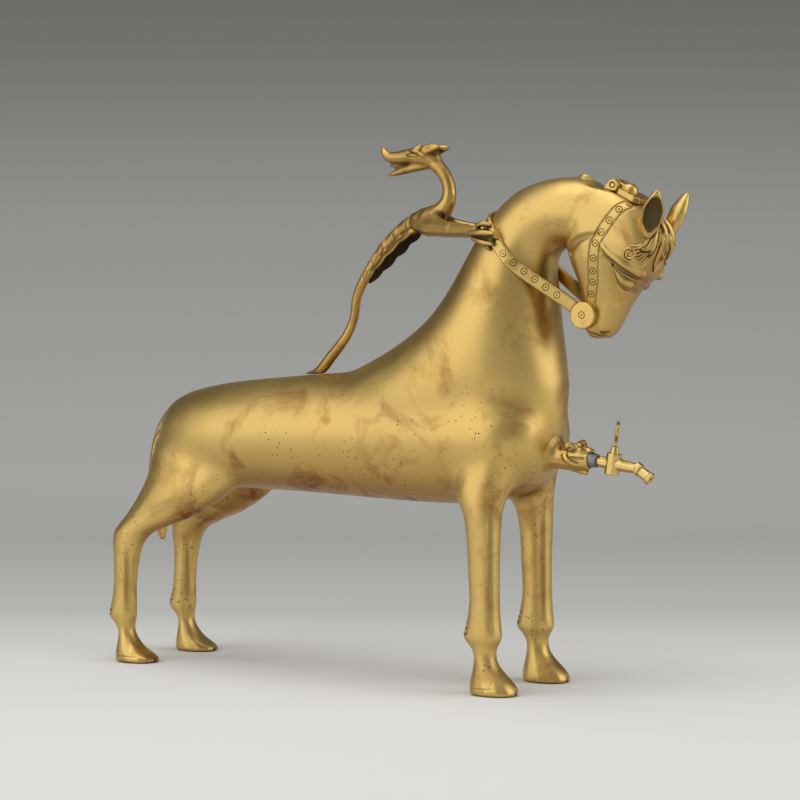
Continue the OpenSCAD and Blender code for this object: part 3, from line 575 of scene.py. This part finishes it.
lid_line = [(165.2, -18.8, 256.5, 0.3), (168.0, -17.6, 252.6, 0.45), (171.0, -15.5, 249.4, 0.5),
            (173.6, -12.7, 247.2, 0.5), (175.4, -10.2, 245.8, 0.45), (175.4, -8.6, 244.2, 0.25)]
lower_line = [(165.2, -18.8, 256.5, 0.3), (165.8, -17.4, 251.0, 0.45), (167.2, -15.2, 245.4, 0.5),
              (169.2, -12.4, 242.0, 0.5), (171.2, -9.8, 240.4, 0.5), (173.0, -8.6, 240.9, 0.4),
              (174.6, -8.2, 242.8, 0.25)]
eyeball = [(167.2, -17.0, 250.8, 0.8), (169.4, -14.8, 247.4, 2.0), (171.4, -12.4, 245.0, 2.4),
           (172.6, -10.6, 243.6, 2.1)]
cheek = [(160, -20.2, 259, 1.6), (162, -18.2, 250, 2.2), (163.6, -14.6, 241, 2.0), (164.6, -10.5, 234, 1.4)]
nostril = [(153.0, -8.7, 216.6, 0.8), (154.3, -7.4, 216.4, 1.2), (156.0, -5.6, 217.2, 0.7)]
mouth = [(142.5, -8.6, 217.6, 0.4), (146.5, -9.4, 215.8, 0.6), (150.7, -8.6, 214.8, 0.6),
         (154.6, -4.8, 214.8, 0.4)]
sprue = [(130.5, 0, 307.6, 0.6), (134.5, 0.6, 308.2, 1.8), (137.5, -0.4, 308.4, 2.2), (141.5, 0.3, 307.6, 1.2)]
print("the cheek strap runs through", len(strap), "points")

# %% Carving the head
head = horse.finer((123, -27, 206), (195, 27, 314), 0.5)
head.d = head.blur(head.d, 0.55 * MM)
bare = head.d.copy()
head.d = melt(head.d, head.blur(head.from_nodes(["forelock"]), 0.6 * MM), 1.6 * MM)
face = ((carve, jowl, 2.4, 0.5), (carve, cheek, 3.0, 1.4), (melt, brow, 2.6, -0.5), (carve, fold, 1.6, 0.5),
        (melt, eyeball, 1.0, -1.2), (carve, upper_line, 0.5, 0), (carve, lid_line, 0.5, 0),
        (carve, lower_line, 0.5, 0), (carve, nostril, 0.8, 0), (carve, mouth, 0.5, 0))  # rim and lift in mm
for side in (np.array, mirror):
    for tool, line, soft, lift in face:
        work(head, tool, line, soft, lift, side)
strap_line = skin_line(head, strap, 8)
for edge in beside(head, strap_line, 6.4):
    for side in (np.array, mirror):
        head.d = carve(head.d, rod(head, side(edge), 0.45), 0.3 * MM)
head.d = melt(head.d, rod(head, curve_through(sprue)), 1.5 * MM)
x, y, z = head.axes()
NECK_CUT = (126.0, 0.0, 260.0)
open_up = np.clip((x - NECK_CUT[0] - 1) / 5, 0, 1).astype(np.float32)  # at the cut the field is left as it was
head.d = open_up * head.d + (1 - open_up) * bare
print("head field", head.shape)

# %% The lid's seat
hinge_x, hinge_z = 159.3, 303.2
slope = math.radians(27)
lid_x = (x - hinge_x) * math.cos(slope) - (z - hinge_z) * math.sin(slope)
lid_z = (x - hinge_x) * math.sin(slope) + (z - hinge_z) * math.cos(slope)


def block(x0, x1, half, z0, z1):
    """A field of a box in the lid's own slope, in metres."""
    along = np.abs(lid_x - (x0 + x1) / 2) - (x1 - x0) / 2
    tall = np.abs(lid_z - (z0 + z1) / 2) - (z1 - z0) / 2
    return np.maximum(np.maximum(along, tall), np.abs(y) - half).astype(np.float32) * MM


seat = block(-1.0, 21.2, 11.1, -3.55, 36)
filler_mouth = block(6.0, 17.0, 7.0, -18, 22)
knuckle_room = np.maximum(np.hypot(lid_x, lid_z) - 4.1, np.abs(y) - 4.3).astype(np.float32) * MM
for room in (seat, filler_mouth, knuckle_room):
    head.d = np.maximum(head.d, -room)
cast_piece("horse_head", head, head, latten, ["head"], [(NECK_CUT, (-1, 0, 0))])

# %% [markdown]
# ## Barrel, neck and upper legs
# This is the large smooth part, so a coarse mesh is enough: its points lie exactly on the fine field.
# It ends flat at the poll and below the knees, where the finer pieces go on. A shallow flute runs down each
# side of every shin, so it is carved before the field is divided.

# %% Barrel
KNEE = 72.0
LEG = 32.5  # from the middle of the horse to the middle of a leg
FRONT_FLUTE = ((40, 1.0), (52, 1.6), (66, 1.7), (82, 1.7), (98, 1.5), (114, 0.8))  # height and radius
HIND_FLUTE = ((35, 0.9), (44, 1.4), (56, 1.5), (68, 1.3), (77, 0.7))
for side in (-1, 1):
    for apart in (-1, 1):
        shin = [(94.2, side * (LEG + 5.8 * apart), h, r) for h, r in FRONT_FLUTE]
        shank = [(-178.3, side * (LEG + 5.4 * apart), h, r) for h, r in HIND_FLUTE]
        for flute in (shin, shank):
            work(horse, carve, flute, 1.2, 0.55)
body_grid = horse.finer((-206, -54, 66), (130, 54, 318), 1.65)
cast_piece("horse_body", horse, body_grid, latten, ["barrel", "neck"],
           [(NECK_CUT, (1, 0, 0)), ((0, 0, KNEE), (0, 0, -1))])

# %% [markdown]
# ## Lower legs and hooves
# The hair behind the fetlock is a row of slanted cuts, the hoof has a cleft at the toe, and a fine line runs
# round it just above the sole. These are small, so each leg gets a fine grid of its own, cut from the same
# horse; near the cut it stays exactly as it was, so that it joins the body with no seam.

# %% Lower legs
KNEE_CUT = ((0, 0, KNEE), (0, 0, 1))
HAIR_CUTS, HAIR_STEP = 11, 3.1
FRONT_FOOT, HIND_FOOT = 94.5, -173.5
legs = {"leg_front_right": (FRONT_FOOT, -1), "leg_front_left": (FRONT_FOOT, 1),
        "leg_hind_right": (HIND_FOOT, -1), "leg_hind_left": (HIND_FOOT, 1)}
for name, (foot, side) in legs.items():
    y0, y1 = sorted((side * 14, side * 51))
    leg = horse.finer((foot - 27, y0, -3), (foot + 22, y1, KNEE + 4), 0.5)
    bare = leg.d.copy()
    z = leg.axes()[2]
    middle = side * LEG
    first, back = (33, foot - 19) if foot == FRONT_FOOT else (30, foot - 21)
    for k in range(HAIR_CUTS):
        h = first + HAIR_STEP * k
        for apart in (-1, 1):
            cut = [(back, middle + apart * 0.8, h, 0.8), (back + 2.5, middle + apart * 3.4, h + 2.4, 0.75),
                   (back + 5, middle + apart * 5.5, h + 4.4, 0.3)]
            work(leg, carve, cut, 0.4)
    cleft = [(foot + 16.5, middle, 0, 0.8), (foot + 15.5, middle, 3.5, 0.6), (foot + 13, middle, 6.5, 0.2)]
    work(leg, carve, cleft, 0.6)
    sole = [(foot - 13, side * 39, 4.2, 0.2), (foot - 7, side * 43, 4.4, 0.35),
            (foot, side * 44, 4.6, 0.35), (foot + 6, side * 42, 4.6, 0.15)]
    work(leg, carve, sole, 0.3)
    open_up = np.clip((KNEE - z - 1) / 5, 0, 1).astype(np.float32)
    leg.d = np.maximum(open_up * leg.d + (1 - open_up) * bare, -z.astype(np.float32) * MM)
    cast_piece("lower_" + name, leg, leg, latten, [name], [KNEE_CUT])

# %% [markdown]
# ## Softened castings
# The smaller fittings keep their CAD form, but no cast or filed edge is truly sharp. Each goes through a fine
# field with a light blur, which rounds its edges by a few tenths of a millimetre.

# %% Small castings


def room_round(names, pad=2.5):
    """A box in mm round some CAD nodes."""
    boxes = [np.array(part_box(n)) / MM for n in names]
    return np.floor(np.min([b[0] for b in boxes], 0) - pad), np.ceil(np.max([b[1] for b in boxes], 0) + pad)


def softened(names, step, round_off, fillet=0.0, pad=2.5):
    """The field of some CAD nodes with rounded edges, and filled creases if wanted."""
    wax = Wax(*room_round(names, pad), step)
    d = wax.from_nodes(names, band=pad / step + 6)
    if fillet:
        d = wax.fillet(d, fillet * MM)
    wax.d = wax.blur(d, round_off * MM)
    return wax


SHORT = ((0.6, 1.0), (1.2, 0.9))
BOSS_FILLET = 2.0
fittings = (  # node, grid step and rounding in mm, metal, its slot, body
    ("bit_boss_right", 0.3, 0.3, latten, "latten", "vessel"),
    ("bit_boss_left", 0.3, 0.3, latten, "latten", "vessel"),
    ("hinge_lugs", 0.3, 0.4, latten, "latten", "vessel"),
    ("hinge_pin", 0.25, 0.25, tap_brass, "tap_brass", "vessel"),
    ("lid", 0.3, 0.4, latten, "latten", "lid"),
    ("lead_joint", 0.25, 0.35, lead, "lead", "vessel"),
    ("tap_tube", 0.25, 0.2, tap_brass, "tap_brass", "vessel"),
    ("tap_body", 0.3, 0.3, tap_brass, "tap_brass", "vessel"),
    ("tap_nozzle", 0.25, 0.25, tap_brass, "tap_brass", "vessel"),
    ("tap_plug", 0.25, 0.15, tap_brass, "tap_brass", "tap_key"),
    ("tap_grip", 0.25, 0.35, tap_brass, "tap_brass", "tap_key"))
for name, step, round_off, metal, slot, body in fittings:
    wax = softened([name], step, round_off, fillet=BOSS_FILLET if "boss" in name else 0.0)
    if name == "hinge_pin":
        wax.d += 0.2 * MM  # the blur narrows the lid's bore, so the pin is thinned to turn free in it
    cast_piece("cast_" + name, wax, wax, metal, [name], body=body, reaches=SHORT)

# %% [markdown]
# ## Ears, tail and reins
# The ears are thin cups with a rolled rim. The tail is a bundle of long hair, cut with grooves along its
# length. The reins are straps laid on the neck.

# %% Ears, tail and reins
for name in ("ear_right", "ear_left"):
    ear = softened([name], 0.35, 0.7, pad=7)
    cast_piece("cast_" + name, ear, ear, latten, [name], reaches=((1.2, 0.6),), hollow=6)

tail = softened(["tail"], 0.6, 1.0)
tail_spine = [(-160.5, 0, 159.8, 4.6), (-178.5, 0, 142.8, 6.0), (-181.5, 0, 119.7, 6.8), (-181.5, 0, 100, 6.2),
              (-179.5, 0, 86, 4.2)]
for angle in np.radians((180, 135, 225, 95, 265)):
    groove = []
    for j, (px, py, pz, r) in enumerate(tail_spine):
        sway = angle + 0.2 * math.sin(j)
        groove.append((px + r * math.cos(sway), py + r * math.sin(sway), pz, 0.55))
    work(tail, carve, groove, 0.7)
cast_piece("cast_tail", tail, tail, latten, ["tail"], reaches=((1.2, 1.0), (2.5, 0.8)))

reins = softened(["rein_right", "rein_left"], 0.5, 0.45)
cast_piece("cast_reins", reins, reins, latten, ["rein_right", "rein_left"], reaches=((1.2, 0.7),))

# %% [markdown]
# ## Things that repeat: Geometry Nodes
# Two small trees do the repeated work. `strands` turns lines into round locks of hair, each as thick as its
# points say. `ring_and_dot_marks` stamps the engraver's mark, a ring with a dot, at every given place and
# turns it to face out of the metal. Both results are kept as plain meshes.

# %% Trees


def new_tree(name, **sockets):
    """A Geometry Nodes tree with named inputs, and the outputs of its input node."""
    tree = bpy.data.node_groups.new(name, "GeometryNodeTree")
    for key, kind in sockets.items():
        tree.interface.new_socket(key, in_out="INPUT", socket_type="NodeSocket" + kind)
    tree.interface.new_socket("Geometry", in_out="OUTPUT", socket_type="NodeSocketGeometry")
    return tree, node(tree, "NodeGroupInput").outputs


def end_tree(tree, shape, metal):
    """Real meshes with a material, out of the tree."""
    real = node(tree, "GeometryNodeRealizeInstances", Geometry=shape).outputs["Geometry"]
    dressed = node(tree, "GeometryNodeSetMaterial", Geometry=real, Material=metal).outputs["Geometry"]
    node(tree, "NodeGroupOutput", Geometry=dressed)


def grow(made, tree, **values):
    """Runs a tree on an object and keeps the result as its plain mesh."""
    step = made.modifiers.new(tree.name, "NODES")
    step.node_group = tree
    for socket in tree.interface.items_tree:
        if socket.in_out == "INPUT" and socket.name in values:
            step[socket.identifier] = values[socket.name]
    grown = made.evaluated_get(bpy.context.evaluated_depsgraph_get())
    made.data = bpy.data.meshes.new_from_object(grown)
    made.modifiers.clear()


hair, given = new_tree("strands", Lines="Geometry", Sides="Int", Metal="Material")
thick = node(hair, "GeometryNodeInputNamedAttribute", {"data_type": "FLOAT"}, Name="thick").outputs["Attribute"]
lines = node(hair, "GeometryNodeMeshToCurve", Mesh=given["Lines"]).outputs["Curve"]
ring = node(hair, "GeometryNodeCurvePrimitiveCircle", Resolution=given["Sides"], Radius=1.0).outputs["Curve"]
strand = node(hair, "GeometryNodeCurveToMesh", Curve=lines, Profile_Curve=ring, Scale=thick, Fill_Caps=True)
end_tree(hair, strand.outputs["Mesh"], given["Metal"])

marks, given = new_tree("ring_and_dot_marks", Places="Geometry", Ring="Float", Line="Float", Dot="Float",
                        Metal="Material")
out = node(marks, "GeometryNodeInputNamedAttribute", {"data_type": "FLOAT_VECTOR"},
           Name="out").outputs["Attribute"]
facing = node(marks, "FunctionNodeAlignRotationToVector", {"axis": "Z"}, Vector=out).outputs["Rotation"]
ring = node(marks, "GeometryNodeCurvePrimitiveCircle", Resolution=26, Radius=given["Ring"]).outputs["Curve"]
wire = node(marks, "GeometryNodeCurvePrimitiveCircle", Resolution=6, Radius=given["Line"]).outputs["Curve"]
hoop = node(marks, "GeometryNodeCurveToMesh", Curve=ring, Profile_Curve=wire).outputs["Mesh"]
dot = node(marks, "GeometryNodeMeshIcoSphere", Radius=given["Dot"], Subdivisions=2).outputs["Mesh"]
stamp = node(marks, "GeometryNodeJoinGeometry", Geometry=hoop)
marks.links.new(dot, stamp.inputs[0])
places = node(marks, "GeometryNodeMeshToPoints", Mesh=given["Places"]).outputs["Points"]
stamped = node(marks, "GeometryNodeInstanceOnPoints", Points=places, Instance=stamp.outputs[0], Rotation=facing)
end_tree(marks, stamped.outputs["Instances"], given["Metal"])
print("trees:", [tree.name for tree in bpy.data.node_groups])

# %% [markdown]
# ## Forelock
# A sheaf of wavy strands runs from between the ears to each temple, where it ends in a spiral, and a third
# lock falls over the brow. Low parts of a strand count as recess, so the gaps between strands turn dark.

# %% Lines of the forelock
SHEAF, FALLING, COIL = 7, 6, 56  # strands to a temple, strands over the brow, points of a spiral
over = np.array([(187.8, -8.8, 276.3), (187.5, -12.1, 272.8), (184.9, -15.8, 269.3), (181.3, -17.7, 266.6),
                 (177.0, -19.4, 266.7)])
under = np.array([(189.3, -5.2, 272.9), (188.8, -9.3, 267.0), (185.3, -12.5, 261.2), (182.3, -15.7, 257.6),
                  (178.0, -18.7, 258.0)])
fall = np.array([(188.9, -0.4, 275.4), (189.8, -0.9, 267.8), (186.5, 1.0, 260.3), (181.7, 1.7, 253.3)])
centre = on_skin(head, np.array([(176.7, -18.8, 262.4)]) * MM)[0]
outward = head.slope(centre[None])[0]
outward /= np.linalg.norm(outward)
rise = np.cross(outward, np.cross((0, 0, 1.0), outward))
rise /= np.linalg.norm(rise)
ahead = np.cross(rise, outward)
ahead *= np.sign(ahead[0])
locks = []
for k in range(SHEAF):
    lock = curve_through(over + (under - over) * k / (SHEAF - 1), 7)
    lock[:, 2] += 0.7 * np.sin(np.linspace(0, 9, len(lock)) + 0.8 * k)
    locks.append(lock)
curl = -0.9 - np.linspace(0, 4.4 * math.pi, COIL)
reach = np.linspace(4.5, 0.6, COIL)
locks.append(centre / MM + (reach * np.cos(curl))[:, None] * ahead + (reach * np.sin(curl))[:, None] * rise)
locks += [mirror(lock) for lock in locks]
for k in range(FALLING):
    off = k - (FALLING - 1) / 2
    lock = curve_through(fall + np.array((0, 1.7 * off, -0.3 * abs(off))), 7)
    lock[:, 1] += 0.6 * np.sin(np.linspace(0, 8, len(lock)) + k)
    locks.append(lock)
print(len(locks), "locks")

# %% Forelock
lock_points, lock_edges, lock_thick = [], [], []
for lock in locks:
    spiral = len(lock) == COIL
    skin = on_skin(head, lock * MM, 3)
    up = head.slope(skin)
    up /= np.linalg.norm(up, axis=1)[:, None]
    start = len(lock_points)
    lock_points += list(skin + up * (0.6 if spiral else 0.5) * MM)
    lock_edges += [(start + i, start + i + 1) for i in range(len(lock) - 1)]
    taper = np.interp(np.linspace(0, 1, len(lock)), (0, 0.1, 0.8, 1), (0.5, 1, 0.95, 0.5))
    lock_thick += list((0.78 if spiral else 1.0) * MM * taper)
forelock = mesh_piece("forelock_strands", lock_points, [], lock_edges)
forelock.data.attributes.new("thick", "FLOAT", "POINT").data.foreach_set("value", lock_thick)
grow(forelock, hair, Sides=8, Metal=latten)
deep = np.clip(1.7 - head.at(points_of(forelock.data)) / (0.5 * MM), 0, 0.56)
finish_piece(forelock, latten, "vessel", ["forelock"], deep)

# %% [markdown]
# ## Ring-and-dot marks
# The marks stand in a row along the cheek strap and the reins, with one on each boss of the bit. Each is
# slid onto the skin of what carries it, and is a fine dark ring, since dirt fills a cut line.

# %% Marks
MARK_STEP = 8.2
rein_path = [(95.0, -27.2, 265.0), (105.2, -24.0, 255.6), (117.4, -21.2, 246.4), (127.2, -18.9, 239.6),
             (134.5, -17.2, 234.5)]
on_rein = curve_through(rein_path, 12)
along = np.concatenate([[0], np.cumsum(np.linalg.norm(np.diff(on_rein, axis=0), axis=1))])
evenly = np.arange(2.5, along[-1] - 1, MARK_STEP)
on_rein = np.stack([np.interp(evenly, along, on_rein[:, k]) for k in range(3)], 1)
spots, turned = [], []
boss = softened(["bit_boss_right"], 0.3, 0.3, fillet=BOSS_FILLET)
for wax, row in ((head, strap[:-1]), (reins, on_rein), (boss, [(143.8, -16.6, 226.9)])):
    row = on_skin(wax, np.array(row, float) * MM, 4)
    for side in (np.array, mirror):
        spots += list(side(row))
        turned += list(side(wax.slope(row)))
engraved = mesh_piece("engraved_marks", spots, [])
outward = engraved.data.attributes.new("out", "FLOAT_VECTOR", "POINT")
outward.data.foreach_set("vector", np.array(turned, np.float32).ravel())
grow(engraved, marks, Ring=1.9 * MM, Line=0.24 * MM, Dot=0.5 * MM, Metal=patina)
finish_piece(engraved, patina, "vessel")

# %% [markdown]
# ## The dragon
# The handle is a small dragon. Its body, head and forelegs melt into one casting; the two wings are thin
# blades along its back, with a groove for each feather. Their inner faces are darkened with painted shade.

# %% Lines of the dragon
eye_over = [(15.3, -4.9, 325.3), (17, -5, 326.3), (19, -4.9, 326.5), (21.5, -5.6, 325.6), (23.6, -6, 324.3)]
eye_under = [(15.3, -4.9, 325.3), (17, -5.3, 324.1), (19.2, -5.3, 323.8), (21.5, -5.8, 323.7), (23.6, -6, 324.3)]
ridge = [(12, -2.0, 328.4, 0.4), (15.5, -3.4, 328.6, 0.7), (21.7, -5.2, 327.4, 0.8), (26.8, -6.3, 325.2, 0.7),
         (29.5, -5.9, 323.2, 0.4)]
knob = [(22.6, -3.4, 329.6, 1.5), (24.2, -3.4, 330.0, 1.7)]
fingers = [[(76, -25.5, 279.0, 1.4), (82, -26.6, 281.2, 1.8), (87.5, -26.4, 280.5, 1.2)],
           [(75, -28.0, 275.8, 1.6), (83, -29.8, 275.7, 1.9), (91, -29.9, 275.2, 1.2)],
           [(76, -26.8, 272.4, 1.4), (83, -28.8, 270.2, 1.8), (90, -29.2, 268.9, 1.2)]]
shoulder = [(30, -4.6, 286.5, 3.6), (36, -6.6, 285.0, 3.8), (44, -10.8, 281.8, 3.2), (54, -16.6, 279.0, 2.6)]
feathers = [[(18.1, -3.8, 288.7), (15.2, -4.7, 285.3), (14.7, -5.5, 282.2), (15.4, -5.0, 279.2)],
            [(8.5, -3.6, 283.0), (5.8, -4.0, 280.5), (5.0, -4.2, 278.1), (5.3, -4.7, 275.3)],
            [(-1.5, -3.0, 276.5), (-3.8, -2.9, 273.8), (-4.4, -2.9, 271.4), (-3.5, -4.1, 268.9)],
            [(-9.5, -3.0, 267.0), (-11.5, -3.0, 264.5), (-12.2, -3.1, 262.0), (-11.5, -3.6, 259.5)],
            [(-14.8, -3.0, 257.5), (-16.3, -3.1, 255.0), (-17.9, -3.2, 252.4), (-18.0, -3.2, 250.2)]]
print(len(feathers), "feathers and", len(fingers), "fingers a side")

# %% Dragon
DRAGON = ["dragon_body", "dragon_head", "dragon_foreleg_right", "dragon_foreleg_left"]
dragon = softened(DRAGON, 0.5, 0.75, fillet=0.6, pad=5)
wings = softened(["dragon_wings"], 0.4, 0.4, fillet=2.5, pad=5)
for side in (np.array, mirror):
    dragon.d = melt(dragon.d, rod(dragon, side(curve_through(knob))), 0.6 * MM)
    dragon.d = melt(dragon.d, rod(dragon, side(curve_through(shoulder))), 3.0 * MM)
    for line in fingers:
        dragon.d = melt(dragon.d, rod(dragon, side(curve_through(line))), 0.4 * MM)
    work(dragon, melt, ridge, 0.5, side=side)
    for line in (eye_over, eye_under):
        dragon.d = carve(dragon.d, rod(dragon, side(skin_line(dragon, line)), 0.5), 0.3 * MM)
    for line in feathers:
        for wax in (dragon, wings):
            quill = skin_line(wax, np.array(line[1:]) + (1.5, 0, -0.3), lift=-0.8)
            quill = np.column_stack([quill, np.linspace(1.2, 0.9, len(quill))])
            wax.d = melt(wax.d, rod(wax, side(quill)), 1.0 * MM)
            wax.d = carve(wax.d, rod(wax, side(skin_line(wax, line)), 0.5), 0.4 * MM)
cast_piece("cast_dragon", dragon, dragon, dark_latten, DRAGON, reaches=((1.2, 0.7), (2.4, 0.6)), hollow=3)

# %% Wings
blades = cast_piece("cast_wings", wings, wings, dark_latten, ["dragon_wings"],
                    reaches=((1.2, 1.0), (2.4, 0.9)))
spot = points_of(blades.data)
# painted shade: points whose faces turn in towards the middle are darkened like patina
inner_face_painted_shade = wings.slope(spot)[:, 1] * np.sign(spot[:, 1]) < -0.25
recess_and_painted_shade = np.zeros(len(spot), np.float32)
values = blades.data.attributes["recess_and_painted_shade"].data
values.foreach_get("value", recess_and_painted_shade)
values.foreach_set("value", np.where(inner_face_painted_shade, np.maximum(recess_and_painted_shade, 0.6), recess_and_painted_shade).astype(np.float32))
print(inner_face_painted_shade.sum(), "points of the wings face inwards")

# %% [markdown]
# ## The spout's mask
# A little beast holds the tap's tube between its jaws. It was cast with the breast, so a fillet joins the two:
# the mask and the breast are melted together, and only the skirt near the mask is kept, a little way into the
# breast. The face is built up from rods for brow, cheek and eyeball, and cut with lines for eye and lips.

# %% Lines of the mask
jaw_line = [(129.6, -9.0, 146.0, 0.4), (130.6, -8.6, 142.8, 0.5), (133.3, -7.5, 139.8, 0.5),
            (136.8, -6.6, 138.6, 0.4)]
eye_pit = [(131.6, -8.4, 146.6, 1.6), (133.2, -7.4, 146.4, 1.5)]
eye_ball = [(131.8, -8.2, 146.5, 1.3), (133.0, -7.5, 146.4, 1.2)]
eye_brow = [(129.0, -8.8, 149.2, 0.9), (132.0, -7.6, 150.0, 1.4), (135.0, -5.0, 149.8, 1.4),
            (137.4, -2.0, 148.8, 0.9)]
jaw_cheek = [(127.5, -9.0, 143.0, 1.0), (130.0, -9.0, 140.2, 1.7), (134.0, -8.0, 138.0, 1.7),
             (138.0, -6.8, 137.4, 1.0)]
lips = [(132.6, -8.2, 142.4, 0.7), (136.0, -7.4, 141.6, 1.0), (139.6, -6.6, 141.6, 0.9)]
print("the jaw is drawn with", len(jaw_line), "points")

# %% Spout mask
mask = softened(["spout_mask"], 0.4, 0.45, pad=7)
grid = np.stack(np.broadcast_arrays(*mask.axes()), -1).reshape(-1, 3)
breast = horse.at(grid * MM).reshape(mask.shape) + 0.15 * MM
skirt = np.maximum(melt(mask.d, breast, 7 * MM), mask.d - 5.5 * MM)
mask.d = np.minimum(mask.d, np.maximum(skirt, -breast - 2.5 * MM)).astype(np.float32)
beast = ((melt, jaw_cheek, 1.2, -0.4), (melt, eye_brow, 0.8, -0.2), (carve, eye_pit, 0.6, 0.5),
         (melt, eye_ball, 0.3, -0.4), (carve, lips, 0.6, 0.2), (carve, jaw_line, 0.4, 0))
for side in (np.array, mirror):
    for tool, line, soft, lift in beast:
        work(mask, tool, line, soft, lift, side)
cast_piece("cast_mask", mask, mask, rubbed, ["spout_mask"], reaches=((1.2, 1.0), (2.0, 0.8)))

# %% [markdown]
# ## Studio
# The vessel stands on a sheet of matt studio paper that curves up behind it; its colour is painted darker
# towards the top, a painted falloff of the light.
# A curve with no corner leaves no line behind the object. Polished metal shows what is round it, so the
# sheet is wide.

# %% Floor and backdrop
WIDE, BEND, ROUND = 3.0, 0.9, 0.6  # metres: half the width, where the curve starts, its radius
right_of_view = Vector((math.cos(turn), math.sin(turn), 0.0))
away = Vector((-math.sin(turn), math.cos(turn), 0.0))
profile = [(-WIDE, 0.0), (BEND, 0.0)]
profile += [(BEND + ROUND * math.sin(a), ROUND - ROUND * math.cos(a)) for a in np.radians(np.arange(6, 91, 6))]
profile += [(BEND + ROUND, 1.4), (BEND + ROUND, 2.6)]
sheet_points = [right_of_view * u + away * v + Vector((0, 0, h)) for v, h in profile for u in (-WIDE, WIDE)]
sheet_faces = [(2 * k, 2 * k + 1, 2 * k + 3, 2 * k + 2) for k in range(len(profile) - 1)]
sheet = mesh_piece("studio_sheet", sheet_points, sheet_faces)
sheet.data.polygons.foreach_set("use_smooth", np.ones(len(sheet.data.polygons), bool))
print("sheet with", len(sheet_faces), "faces")

# %% Studio paper
# matt coated paper with no gloss at all; its colour is a painted falloff of light, white in front and darker
# grey behind
paper = bpy.data.materials.new("studio_paper")
paper.use_nodes = True
t = paper.node_tree
t.nodes.clear()
place = node(t, "ShaderNodeTexCoord").outputs["Object"]
back = node(t, "ShaderNodeVectorMath", {"operation": "DOT_PRODUCT"},
            i0=place, i1=(away.x, away.y, 1.2)).outputs["Value"]
painted_falloff = node(t, "ShaderNodeMapRange", Value=back, From_Min=0.0, From_Max=2.4).outputs["Result"]
ramp = node(t, "ShaderNodeValToRGB", Fac=painted_falloff)
painted_falloff_stops = [(0.03, "#f4f4f2"), (0.14, "#d2d2d0"), (0.50, "#c4c4c2"), (0.77, "#a6a6a4"), (0.90, "#838381"),
         (1.00, "#6c6c6a")]
for k, (where_to, shade) in enumerate(painted_falloff_stops):
    stop = ramp.color_ramp.elements[k] if k < 2 else ramp.color_ramp.elements.new(where_to)
    stop.position, stop.color = where_to, linear(shade)
matt_paper = node(t, "ShaderNodeBsdfDiffuse", Color=ramp.outputs["Color"]).outputs["BSDF"]
node(t, "ShaderNodeOutputMaterial", Surface=matt_paper)
sheet.data.materials.append(paper)
print("paper shades:", [shade for where_to, shade in painted_falloff_stops])

# %% [markdown]
# ## Lamps
# Three square lamps light the vessel as in a studio: a large one from the left draws the long lights on the
# flank, a weaker one from the right opens the breast and the head, and one from above shows the back. A wide
# lamp gives polished metal a soft light instead of a hard spot. The room adds an even grey.

# %% Lamps


AIM = Vector((0, 0, 0.17))  # the middle of the vessel


def softbox(name, across, towards, up, size, power):
    """A square lamp placed as seen from the camera: metres across to the right, towards it, and up; watts."""
    lamp = bpy.data.lights.new(name, "AREA")
    lamp.shape, lamp.size, lamp.energy = "SQUARE", size, power
    made = bpy.data.objects.new(name, lamp)
    made.location = right_of_view * across - away * towards + Vector((0, 0, up))
    made.rotation_euler = (AIM - made.location).to_track_quat("-Z", "Y").to_euler()
    bpy.context.scene.collection.objects.link(made)


softbox("key", across=-1.7, towards=1.1, up=1.1, size=2.6, power=21.5)
softbox("fill", across=1.8, towards=0.5, up=0.9, size=1.6, power=11)
softbox("top", across=-0.2, towards=0.2, up=2.0, size=1.6, power=13)
world = bpy.data.worlds.new("studio_room")
bpy.context.scene.world = world
world.use_nodes = True
room = world.node_tree.nodes["Background"]
room.inputs["Color"].default_value = linear("#b4b4b2")
room.inputs["Strength"].default_value = 0.7
bpy.context.scene.view_settings.view_transform = "Standard"
print("lamps:", [lamp.name for lamp in bpy.data.lights])
